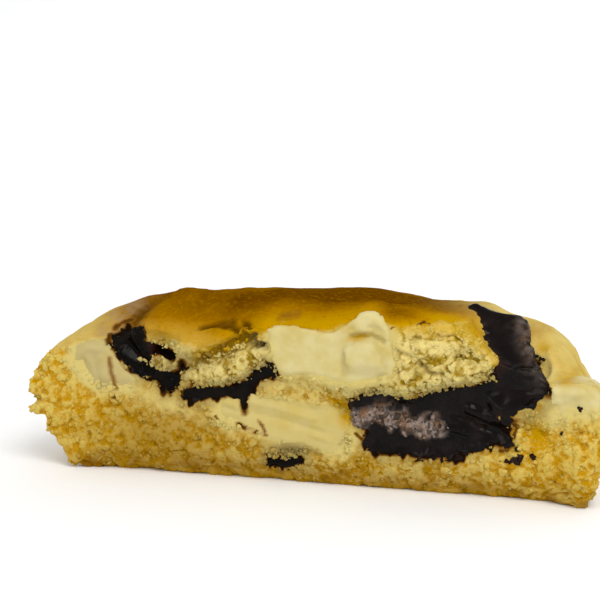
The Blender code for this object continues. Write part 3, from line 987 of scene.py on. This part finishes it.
# Painted shade for folds and cracks
CREASE_SHADE = rgb(84, 54, 4)
print("a pit in the crumb is", [round(part, 3) for part in PIT_GOLD[:3]])

# %% Mix the dough's finish
# Cocoa is dark where it is thick, and orange brown where it thins out
STAINED = ((COCOA_FRINGE, "cocoa", 0.15, 0.6, 1), (COCOA, "cocoa", 0.4, 0.85, 1))


def dough_finish():
    finish, tree, shader = new_finish(
        "baked_dough", Roughness=0.75, Specular_IOR_Level=0.0,
        Subsurface_Weight=0.3, Subsurface_Scale=0.0007, Subsurface_Radius=(1.0, 0.6, 0.2),
    )
    x, _, z = add_node(tree, "SeparateXYZ", {0: place_on(tree)}).outputs
    sideways = calculate(tree, "ABSOLUTE", x)
    # Brighter towards both ends: partly the crumb's own gold, partly painted light
    pits = paint(tree, PIT_GOLD, ((END_PIT, sideways, 0.024, 0.036, 1), (SLAB_PIT, "slab")))
    tops = paint(tree, CRUMB_TOP, ((END_TOP, sideways, 0.024, 0.036, 1), (SLAB_TOP, "slab")))
    crumb = paint(tree, pits, (
        (tops, "raised"),
        (pits, 2.4, 0.5, 0.75, 0.5),
        (tops, 0.5, 0.5, 0.8, 0.5),
        (FLECK, 0.35, 0.55, 0.75, 0.45),
        (pits, 0.6, 0.45, 0.25, 0.5),
        (LIP_CRUMB, "lip", 0, 1, 0.8),
        # painted shade on the crumb low down
        (PAINTED_LOW_SHADE, "dusk", 0, 1, 0.65),
    ))
    pale = paint(tree, PALE_LEFT, (
        # painted shade: the left lobe darker than the right
        (PALE_RIGHT, x, -0.02, 0.02, 1),
        (LIP_CRUST, 6, 0.40, 0.75, 0.5),
        (SLAB_CRUST, 1.6, 0.5, 0.8, 0.35),
        (CREAM, 0.8, 0.5, 0.7, 0.4),
    ))
    browned = between(tree, speckle(tree, 3.5), 0.42, 0.6, 0.3, 1)
    browned = calculate(tree, "MULTIPLY", between(tree, z, 0.0042, 0.0006, 0, 0.9), browned)
    colour = paint(tree, LIP_CRUST, (
        # browner towards the crown, partly baked and partly painted shade
        (SLAB_CRUST, "crown", 0, 0.5, 1),
        (CROWN_CRUST, "crown", 0.45, 0.95, 1),
        (CROWN_CRUST, 5, 0.42, 0.7, 0.2),
        (LIP_CRUST, 0.7, 0.5, 0.8, 0.3),
        (CROWN_CRUST, 0.5, 0.42, 0.25, 0.5),
        (pale, "pale"),
        (BLOOM, "bloom"),
        (crumb, "crumb"),
        # painted shade in folds and cracks
        (CREASE_SHADE, "crease", 0, 1, 0.95),
        # painted shade: a little darker towards the bottom, below 10 mm
        (PIT_GOLD, z, 0.010, 0, 0.15),
        (BASE_BROWN, browned),
        (CREAM, "cream"),
        (HALO, "halo", 0, 1, 0.85),
        (GAP_SHADE, "gap"),
        (DAMP_GOLD, "golden", 0, 1, 0.75),
        *STAINED,
    ))
    tree.links.new(colour, shader.inputs["Base Color"])
    add_bump(tree, shader, speckle(tree, 0.3, 4), 0.16)
    return finish


baked_dough = dough_finish()
dough.data.materials.append(baked_dough)
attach(dough, "root")
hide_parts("dough")
print("finish:", baked_dough.name)

# %% [markdown]
# ## Chocolate
# The pieces melted in the oven and set again, so each is a film where it meets the crumb. The solid is
# swollen by a millimetre and remeshed. Then each point goes back, either to the solid's own surface or to
# the dough's surface plus the film's thickness, whichever is further out. The film thins with the distance
# from the solid and sinks into the crumb at its end, so that the grains themselves draw its ragged edge.

# %% List the marks on the chocolate
# Height, half width and line of what stands out of a piece, or is sunk into it
CHOCOLATE_MARKS = {
    "white_chocolate_top": (
        (-0.9, 0.7, ((8.8, 24.7), (10, 25), (12, 25), (13.6, 24.2))),
        (-0.25, 0.5, ((7.4, 18.6), (7.3, 21), (7.4, 23))),
    ),
    "white_chocolate_left": (
        (-0.35, 1.3, ((-37.2, 17.6), (-36.2, 15.6))), (0.3, 0.8, ((-38, 19), (-36.4, 20.4), (-34.2, 20.2))),
        (0.25, 0.9, ((-33.6, 18.6), (-33.2, 15.4))), (-0.3, 0.6, ((-35.2, 18.8), (-34.6, 15))),
    ),
    "white_chocolate_middle": (
        (0.3, 0.9, ((-9.5, 13.4), (-4, 12.6), (2, 11.2))), (-0.3, 0.7, ((-8, 11.4), (-2, 10.4), (3.4, 9))),
        (0.3, 0.8, ((2, 8.6), (4.6, 7.8))), (-0.4, 0.6, ((-12.6, 12), (-10.8, 11.4))),
    ),
    "white_chocolate_right": (
        (-0.35, 1, ((40.6, 15.4), (43.2, 16.2))), (0.3, 0.9, ((39.6, 17.8), (43.8, 18))),
    ),
    "dark_chocolate_left": (
        (0.6, 0.9, ((-31.4, 20), (-28.6, 17.8), (-25.4, 16.6), (-22.4, 15.2))),
        (-0.5, 0.7, ((-30, 21.4), (-27.6, 18.8), (-25, 17.4))), (0.5, 0.7, ((-29, 22.8), (-27.8, 20.6))),
    ),
    "dark_chocolate_right": (
        (0.35, 0.6, ((20.9, 12.3), (23.5, 10.9), (27.3, 10.2))),
        (-0.35, 0.7, ((20.3, 11.5), (23.5, 10), (27, 9.3))), (0.5, 0.8, ((21.8, 15.4), (22.1, 15.3))),
        (0.45, 0.6, ((19.3, 15.5), (19.6, 15.5))), (0.45, 0.6, ((14.3, 15.4), (14.6, 15.4))),
        (0.5, 1.3, ((27, 14), (30.5, 12.6), (33, 12.4))),
        (-0.5, 1.3, ((24.5, 13.4), (28.5, 11.8), (32, 10.4))),
        (0.4, 1, ((32.6, 28.4), (33.3, 25.6), (34.4, 23.6), (36.4, 20.8))),
        (0.3, 0.7, ((34.6, 27.6), (35.2, 25), (36.2, 22.4))),
    ),
}
# A smaller chunk stands out of the large white one, and thin flakes curl off above it
WHITE_CHUNK = ((7.6, 22.8), (9.2, 24.1), (12.1, 24), (13.6, 22.6), (14.4, 19.5), (12.7, 18.4), (8.4, 18.4))
CHUNK_HEIGHT = 1.1
WHITE_FLAKES = (11.2, 26.4, 4.4, 1.5, 14)
CURL = 0.6
# The line of the crumbs that lie in the pool, smeared grey with chocolate
CLUMP = ((10, 11.6), (13, 12.3), (17, 11.2), (22, 10.9))
# The bar's ripples, which carry a painted sheen, and its upper left corner, which is pulled in by a millimetre
WRINKLED = (35, 24.2, 1.5, 4.5, 28)
BAR_CORNER = (24, 29, 1.6, 1.6)
print("pieces with marks:", ", ".join(CHOCOLATE_MARKS))

# %% Helpers for the melted pieces
CHOCOLATE_VOXEL = 0.36
SWELL = 1.0
PROUD = 0.1
# The film: its thickness, how ragged its edge is, where it fades out, and how deep its end sinks
FILM = {"dark": 0.45, "white": 0.22}
RAGGED = {"dark": 0.6, "white": 0.75}
FILM_FADES = (-0.8, 0.35)
FILM_SINKS = 0.15
# Where it lets the crumb show through, how grains break its edge, and how far it keeps off the crust
THINS = {"dark": (0.1, 0.7), "white": (-0.9, 0.2)}
GRIP = {"dark": 0.8, "white": 0.6}
OFF_CRUST = 0.8
# How far white chocolate stays behind dark, and both behind crumb that has run over them
BEHIND_DARK = 1.6
BEHIND_CRUMB = 1.2
OVERRUN_CUTS = 2.5


def nearest_on(surface, points):
    """The nearest places on a surface, its normals there, and which faces they are on."""
    places, normals, faces, _ = zip(*(surface.find_nearest(point) for point in points))
    return np.array([tuple(place) for place in places]), np.array([tuple(n) for n in normals]), list(faces)


def melted(node, dough_surface, seed):
    """The mesh of a melted piece, and how thin it is at each point."""
    kind = node.split("_")[0]
    piece = put_in_scene("melted_" + node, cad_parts[node].data.copy())
    cast_again(piece, voxels(CHOCOLATE_VOXEL), swollen(SWELL), voxels(CHOCOLATE_VOXEL))
    points, normals = points_of(piece.data), normals_of(piece.data)
    on_dough, dough_normals, faces = nearest_on(dough_surface, points)
    below = FIRST_CORNERS[faces]
    away = signed_distance(on_dough, surface_of(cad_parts[node].data))
    thin = rise(away, *THINS[kind])
    at_cut = near_cut(on_dough[:, 1], 5, 2) * rise(crumb_share[below], 0, 0.5)
    away += at_cut * RAGGED[kind] * (0.5 + layered_noise(on_dough, 1.5, seed))
    x, y, z = points.T
    if kind == "white":
        y += BEHIND_DARK * fall(dark_distance[below], 0.0, 0.5) * (y < CUT_Y + 3)
    y += BEHIND_CRUMB * overrun(x, z) * (y < CUT_Y + 3)
    away += at_cut * OVERRUN_CUTS * overrun(on_dough[:, 0], on_dough[:, 2])
    away += at_cut * GRIP[kind] * (rise(tops[below], 0.0, 0.42) - 0.5) + (1 - at_cut) * OFF_CRUST
    fade = fall(away, *FILM_FADES)
    thickness = FILM[kind] * (0.4 + 0.6 * at_cut)
    film = on_dough + dough_normals * ((thickness + FILM_SINKS) * fade - FILM_SINKS)[:, None]
    skin = points - normals * (SWELL - PROUD)
    outer = ((film - skin) * normals).sum(axis=1) > 0
    put_points(piece.data, np.where(outer[:, None], film, skin))
    cast_again(piece, relaxed(2))
    return piece, np.where(outer, thin, 0)


# %% [markdown]
# ## The chocolate's finishes
# Dark chocolate is nearly black, and what the eye sees of it is mostly gloss, dulled in patches. Where it is
# thin it turns brown, and where it carries crumbs it is grey. The cup in the furrow, the arc and the base lie
# in shade, so they have a deeper and duller finish of their own, which is painted shade. White chocolate is
# cream, with a little light inside, and it takes the same stains of cocoa as the dough. Low down and towards
# the left end it is painted darker, as painted shade.

# %% Mix the chocolate's finishes
def dark_finish(name, gloss, deep, light):
    finish, tree, shader = new_finish(name, Specular_IOR_Level=gloss)
    # Lilac grey where the bloom number says: bloom on crumbs, and painted sheen on the bar's wrinkles
    lilac = paint(tree, rgb(150, 134, 126), ((rgb(122, 92, 68), 1.6, 0.4, 0.65, 1),))
    colour = paint(tree, deep, (
        (light, 3, 0.45, 0.75, 1), (rgb(38, 18, 12), "thin"), (lilac, "bloom"),
    ))
    tree.links.new(colour, shader.inputs["Base Color"])
    rough = between(tree, speckle(tree, 2), 0.35, 0.7, 0.10, 0.30)
    rough = calculate(tree, "MAXIMUM", rough, read_number(tree, "bloom"))
    tree.links.new(rough, shader.inputs["Roughness"])
    add_bump(tree, shader, speckle(tree, 0.8, 4), 0.03)
    return finish


def white_finish():
    finish, tree, shader = new_finish(
        "melted_white_chocolate", Roughness=0.5, Specular_IOR_Level=0.12,
        Subsurface_Weight=0.25, Subsurface_Scale=0.0012, Subsurface_Radius=(1.0, 0.7, 0.35),
    )
    x, _, z = add_node(tree, "SeparateXYZ", {0: place_on(tree)}).outputs
    colour = paint(tree, rgb(200, 188, 134), (
        (rgb(190, 172, 104), 3, 0.4, 0.7, 1),
        (CREAM, "thin"),
        # Painted shade: darker and yellower low down, and darker towards the left end
        (rgb(186, 164, 86), z, 0.0165, 0.0140, 0.5),
        (rgb(168, 150, 98), x, -0.020, -0.030, 0.6),
        (DAMP_GOLD, "golden"),
        *STAINED,
    ))
    tree.links.new(colour, shader.inputs["Base Color"])
    add_bump(tree, shader, speckle(tree, 0.8, 4), 0.06)
    return finish


POOL_FINISH = dark_finish("melted_dark_chocolate", 0.10, rgb(10, 6, 5), rgb(24, 16, 14))
# A darker and duller copy for the cup, the arc and the base: painted shade
CUP_FINISH = dark_finish("shaded_dark_chocolate", 0.06, rgb(7, 5, 3), rgb(20, 14, 9))
WHITE_FINISH = white_finish()
print("finishes:", ", ".join(finish.name for finish in (POOL_FINISH, CUP_FINISH, WHITE_FINISH)))

# %% [markdown]
# ## Melting the pieces
# All ten pieces go through the same steps, so one loop makes them. Each gets soft waves and its own marks.
# Two need more than that. The large white chunk has a smaller one that stands out of it, with flakes above.
# The dark pool has ripples, a lump of grey crumbs, a corner that the crust covers, and a painted sheen on its
# bar.

# %% Helpers for the chunk and the pool
def chunk_relief(points):
    """Heights of the smaller white chunk and of the flakes that curl off above it."""
    x, z = shaken(points, 0.2, 0.9, 91)
    outline = inside(x, z, WHITE_CHUNK) + 0.35 * layered_noise(points, 1.0, 95)
    chunk = CHUNK_HEIGHT * rise(outline, 0, 0.22) * rise(z, 18.4, 21)
    return chunk + CURL * patch(x, z, *WHITE_FLAKES) * read_map(grain_map(SLAB_FLAKES, 12, -0.5), x, z)


def pool_clump(points):
    """Where crumbs lie in the pool, from 0 to 1, and how high each of them is."""
    x, _, z = points.T
    clump = fall(from_line(x, z, CLUMP) + 1.2 * layered_noise(points, 1.2, 61), 0.5, 2.0)
    return clump, read_map(grain_map(FLAKES, 9, -0.5), x, z)


# %% Melt the pieces
SHADED = ("dark_chocolate_left", "dark_chocolate_arc", "dark_chocolate_base")
WAVE = {"dark": 0.26, "white": 0.12}
SOFT_BEVEL = {"dark": 1.5, "white": 0.7}
FIRST_CORNERS = np.array([face.vertices[0] for face in dough.data.polygons])
dough_surface = surface_of(dough.data)

for seed, node in enumerate(CHOCOLATE):
    kind = node.split("_")[0]
    piece, thin = melted(node, dough_surface, 100 + 10 * seed)
    mesh = piece.data
    points, normals = points_of(mesh), normals_of(mesh)
    # x, y and z are views of the points, so a change of x moves the points themselves
    x, y, z = points.T
    to_front = rise(-normals[:, 1], 0, 0.4)
    wave = WAVE[kind] * (layered_noise(points, 3.5, 500 + seed) + 0.2 * soft_noise(points, 1.2, 510 + seed))
    wave += marked(x, z, CHOCOLATE_MARKS.get(node, ()), SOFT_BEVEL[kind]) * to_front
    if node == "white_chocolate_top":
        wave += chunk_relief(points) * to_front
    if node == "dark_chocolate_right":
        clump, lumps = pool_clump(points)
        clump *= to_front
        wave += clump * (0.5 + 0.55 * lumps)
        x -= np.maximum(2.4 * behind_hook(points), beyond_bar(points))
        x += patch(x, z, *BAR_CORNER) * (y > CUT_Y + 4)
        wrinkled = patch(x, z, *WRINKLED) * layered_noise(points * (1, 1, 1.3), 1.1, 63)
        wave += 0.5 * wrinkled
        # A painted sheen greys the bar's wrinkles, kept with the bloom
        painted_sheen = (0.3 * patch(x, z, *WRINKLED) + 0.6 * wrinkled) * to_front
        store(mesh, "bloom", np.maximum(clump * rise(lumps, -0.7, -0.1), painted_sheen))
        pool, pool_bloom = piece, clump
    put_points(mesh, points + normals * (wave * (1 - thin))[:, None])
    store(mesh, "thin", thin)
    if kind == "white":
        under_crust = to_front if node == "white_chocolate_back" else under_gold(x, z) * (y < CUT_Y + 12)
        store(mesh, "cocoa", stained(points))
        store(mesh, "golden", np.maximum(strongest(x, z, GOLDEN) * (y < CUT_Y + 4), under_crust))
    mesh.shade_smooth()
    finish = WHITE_FINISH if kind == "white" else CUP_FINISH if node in SHADED else POOL_FINISH
    mesh.materials.append(finish)
    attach(piece, "root")
    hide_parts(node)
    print(piece.name, len(mesh.vertices), "points")

# %% [markdown]
# ## Loose crumbs
# A height map can't make crumbs that stand free of the surface, and those are what make a broken edge look
# broken. So small lumps are strewn over the crumb, half sunk in it. Each is a ball of 80 triangles, squashed
# and dented at random.

# %% Helpers for crumbs
CRUMB_SINK = 0.25
KNOBS = 0.45
DENTS = 0.15


def ball_of_crumb():
    shape = bmesh.new()
    bmesh.ops.create_icosphere(shape, subdivisions=2, radius=1)
    corners = np.array([tuple(vert.co) for vert in shape.verts])
    faces = np.array([[vert.index for vert in face.verts] for face in shape.faces])
    shape.free()
    return corners, faces


def strewn(name, places, normals, radii, seed):
    """One mesh of dented lumps, one at each place, half sunk along its normal."""
    rng = np.random.default_rng(seed)
    corners, faces = ball_of_crumb()
    count = len(places)
    frames, _ = np.linalg.qr(rng.normal(size=(count, 3, 3)))
    frames[:, :, 0] *= np.linalg.det(frames)[:, None]
    squash = rng.uniform(0.55, 1.4, (count, 1, 3))
    offsets = rng.uniform(0, LATTICE, (count, 1, 3))
    knobs = soft_noise((corners[None] + offsets).reshape(-1, 3), 0.8, seed).reshape(count, -1, 1)
    dents = 1 + KNOBS * knobs + DENTS * rng.uniform(-1, 1, knobs.shape)
    lumps = (corners[None] * squash * dents) @ frames * radii[:, None, None]
    middles = places - normals * (radii * CRUMB_SINK)[:, None]
    points = (lumps + middles[:, None]).reshape(-1, 3)
    points[:, 2] = np.maximum(points[:, 2], 0.02)
    all_faces = (faces[None] + len(corners) * np.arange(count)[:, None, None]).reshape(-1, 3)
    mesh = bpy.data.meshes.new(name)
    mesh.from_pydata((points * MM).tolist(), [], all_faces.tolist())
    mesh.shade_smooth()
    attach(put_in_scene(name, mesh), "root")
    return bpy.data.objects[name], len(corners)


def radii_between(rng, smallest, largest, count):
    return smallest + (largest - smallest) * rng.random(count) ** 2.2


def front_near(x, z):
    """The point of the dough's front nearest to this place on the cut."""
    front = np.where(facing_cut > 0.5, 0, FAR) + np.maximum(moved[:, 1] - CUT_Y, 0)
    return int(np.argmin(np.hypot(moved[:, 0] - x, moved[:, 2] - z) + front))


# %% Strew crumbs on the crumb
CRUMB_COUNT = 1620
CRUMB_RADII = (0.13, 0.42)

rng = np.random.default_rng(71)
dough_normals = normals_of(dough.data)
under_slab = patch(X, Z - profile(SLAB_UNDERSIDE, X), 0, 0.3, 1e6, 1.0)
chance = crumb_share * (1 - 0.8 * smeared) * (chocolate_distance > 0.1)
chance *= 0.6 + 0.4 * on_slab + 1.5 * under_slab
chance += 0.5 * crumb_share * (white_distance > -0.2) * (white_distance < 0.8) * (dark_distance > 0.8)
chance *= (moved[:, 1] < CUT_Y + 3) & (moved[:, 2] > 0.6)
picked = rng.choice(len(X), CRUMB_COUNT, replace=False, p=chance / chance.sum())
radii = radii_between(rng, *CRUMB_RADII, CRUMB_COUNT)
print("crumbs on the crumb:", CRUMB_COUNT)

# %% [markdown]
# ## Crumbs over the chocolate
# When a warm cookie is broken, crumbs hang from the slab's underside and fall on the soft chocolate. They
# soften the borders that would look cut out otherwise. Most of them are drawn round places that were read
# off the photo, and a few large ones are placed one by one. All take their colours from the nearest dough.

# %% Hang crumbs under the slab
HANGING_COUNT = 260
HANGING_RADII = (0.15, 0.42)

hanging_x = rng.uniform(SLAB_LEFT + 8, SLAB_RIGHT - 1, HANGING_COUNT)
hanging_z = profile(SLAB_UNDERSIDE, hanging_x) + rng.normal(0.1, 0.45, HANGING_COUNT)
hanging = np.array([front_near(x, z) for x, z in zip(hanging_x, hanging_z)])
free = (hanging_x < -5) | (hanging_x > 7)
hanging, hanging_x, hanging_z = hanging[free], hanging_x[free], hanging_z[free]
hanging_places = np.column_stack((hanging_x, np.minimum(moved[hanging, 1], CUT_Y + 0.4), hanging_z))
print("hanging crumbs:", len(hanging))

# %% Heap crumbs over the chocolate's edges
# X, Z, half length, half height, turn, how many
HEAPS = (
    (-24.2, 18, 2, 0.5, -20, 26), (-2, 5.2, 3.2, 0.7, 6, 110), (9.5, 16.4, 3.2, 0.5, -4, 50),
    (-33, 13.6, 3, 0.7, -20, 30), (7.6, 7.4, 0.8, 1.4, 0, 30), (-3.6, 18.9, 1.6, 0.6, -30, 15),
    (-12.6, 8.9, 3, 0.5, -15, 40), (36.6, 13.2, 1.6, 1.4, 30, 40), (-14.5, 15.9, 4.5, 0.35, 12, 60),
    (41.5, 13.2, 3.5, 0.6, 8, 40), (-11.5, 21.6, 4, 0.5, 24, 40), (-19.4, 21.2, 2.2, 0.5, 5, 20),
    (20, 17.3, 9, 0.4, 9, 120),
)
HEAP_RADII = (0.1, 0.38)

heap_places, heap_points = [], []
for middle_x, middle_z, half_length, half_height, turn, count in HEAPS:
    c, s = math.cos(math.radians(turn)), math.sin(math.radians(turn))
    for along, across in rng.normal(0, (0.6 * half_length, 0.6 * half_height), (count, 2)):
        x, z = middle_x + along * c - across * s, middle_z + along * s + across * c
        point = front_near(x, z)
        heap_points.append(point)
        heap_places.append((x, min(moved[point, 1], CUT_Y + 0.1), z))
print("crumbs in heaps:", len(heap_points))

# %% Make the crumbs
# Single large ones: X, Z, radius
LARGE_CRUMBS = ((-46, 9.8, 0.8), (-45.2, 9.6, 0.7), (35.2, 0.9, 0.8), (35.6, 1.6, 0.7), (-22.4, 17.9, 0.6))

large = np.array([front_near(x, z) for x, z, _ in LARGE_CRUMBS])
places = np.concatenate((moved[picked], hanging_places, heap_places, moved[large]))
picked = np.concatenate((picked, hanging, heap_points, large))
radii = np.concatenate((
    radii, radii_between(rng, *HANGING_RADII, len(hanging)),
    radii_between(rng, *HEAP_RADII, len(heap_points)), [radius for *_, radius in LARGE_CRUMBS],
))
crumbs, corner_count = strewn("loose_crumbs", places, dough_normals[picked], radii, 72)
for name in ("crumb", "raised", "cream", "cocoa", "halo", "slab", "golden", "dusk", "lip"):
    values = np.empty(len(X), np.float32)
    dough.data.attributes[name].data.foreach_get("value", values)
    values = {"raised": np.maximum(values, 0.75), "cocoa": values * 0}.get(name, values)
    store(crumbs.data, name, np.repeat(values[picked], corner_count))
crumbs.data.materials.append(baked_dough)
print("crumbs:", len(picked))

# %% [markdown]
# ## Specks
# Splinters of dark chocolate melt into small dots on crumb and white chocolate. They are made like the
# crumbs, but with the chocolate's finish. Each has its own place, because so few are easy to compare.

# %% Specks of dark chocolate
# X, Z, radius
SPECKS = (
    (44.2, 16, 0.7), (44.4, 15.6, 0.5), (42.2, 16.6, 0.35), (41.3, 11.8, 0.45), (34, 6.9, 0.6),
    (34.8, 7.2, 0.6), (34.4, 6.5, 0.5), (36.9, 7.5, 0.6), (37.2, 7.7, 0.4), (34.5, 8.5, 0.45),
    (32.9, 6.7, 0.4), (33.4, 6.4, 0.4), (19, 6, 0.4), (19.3, 6.2, 0.3), (16, 6.6, 0.3),
)
# Three more lie on the crust beside the bar, behind the cut: X, Y, Z
CRUST_SPECKS = ((36.4, -12.8, 22), (36.9, -12.8, 21.7), (37.5, -12.8, 21.5))
CRUST_SPECK_RADIUS = 0.4

speck_points = [front_near(x, z) for x, z, _ in SPECKS]
speck_points += [int(np.argmin(((moved - place) ** 2).sum(axis=1))) for place in CRUST_SPECKS]
speck_radii = np.array([radius for *_, radius in SPECKS] + [CRUST_SPECK_RADIUS] * len(CRUST_SPECKS))
specks, _ = strewn("chocolate_specks", moved[speck_points], dough_normals[speck_points], speck_radii, 73)
store(specks.data, "thin", np.full(len(specks.data.vertices), 0.8))
specks.data.materials.append(POOL_FINISH)
print("specks:", len(speck_points))

# %% [markdown]
# ## Grey crumbs
# Crumbs that fell into the pool while it was soft are coated with it and look grey. They lie where the pool
# has its lump, and each has more or less of the dull bloom.

# %% Grey crumbs in the pool
POOL_CRUMB_COUNT = 170
POOL_CRUMB_RADII = (0.18, 0.5)

pool_points, pool_normals = points_of(pool.data), normals_of(pool.data)
chosen = rng.choice(len(pool_points), POOL_CRUMB_COUNT, replace=False, p=pool_bloom / pool_bloom.sum())
pool_radii = radii_between(rng, *POOL_CRUMB_RADII, POOL_CRUMB_COUNT)
clump, corner_count = strewn("smeared_crumbs", pool_points[chosen], pool_normals[chosen], pool_radii, 74)
store(clump.data, "bloom", np.repeat(rng.uniform(0.1, 1.0, POOL_CRUMB_COUNT), corner_count))
clump.data.materials.append(POOL_FINISH)
print("grey crumbs:", POOL_CRUMB_COUNT)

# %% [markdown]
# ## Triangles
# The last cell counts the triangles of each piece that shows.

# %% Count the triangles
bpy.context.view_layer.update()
triangles = {piece.name: sum(len(face.vertices) - 2 for face in piece.data.polygons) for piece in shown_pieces()}
print("triangles:", triangles, "in all", sum(triangles.values()))
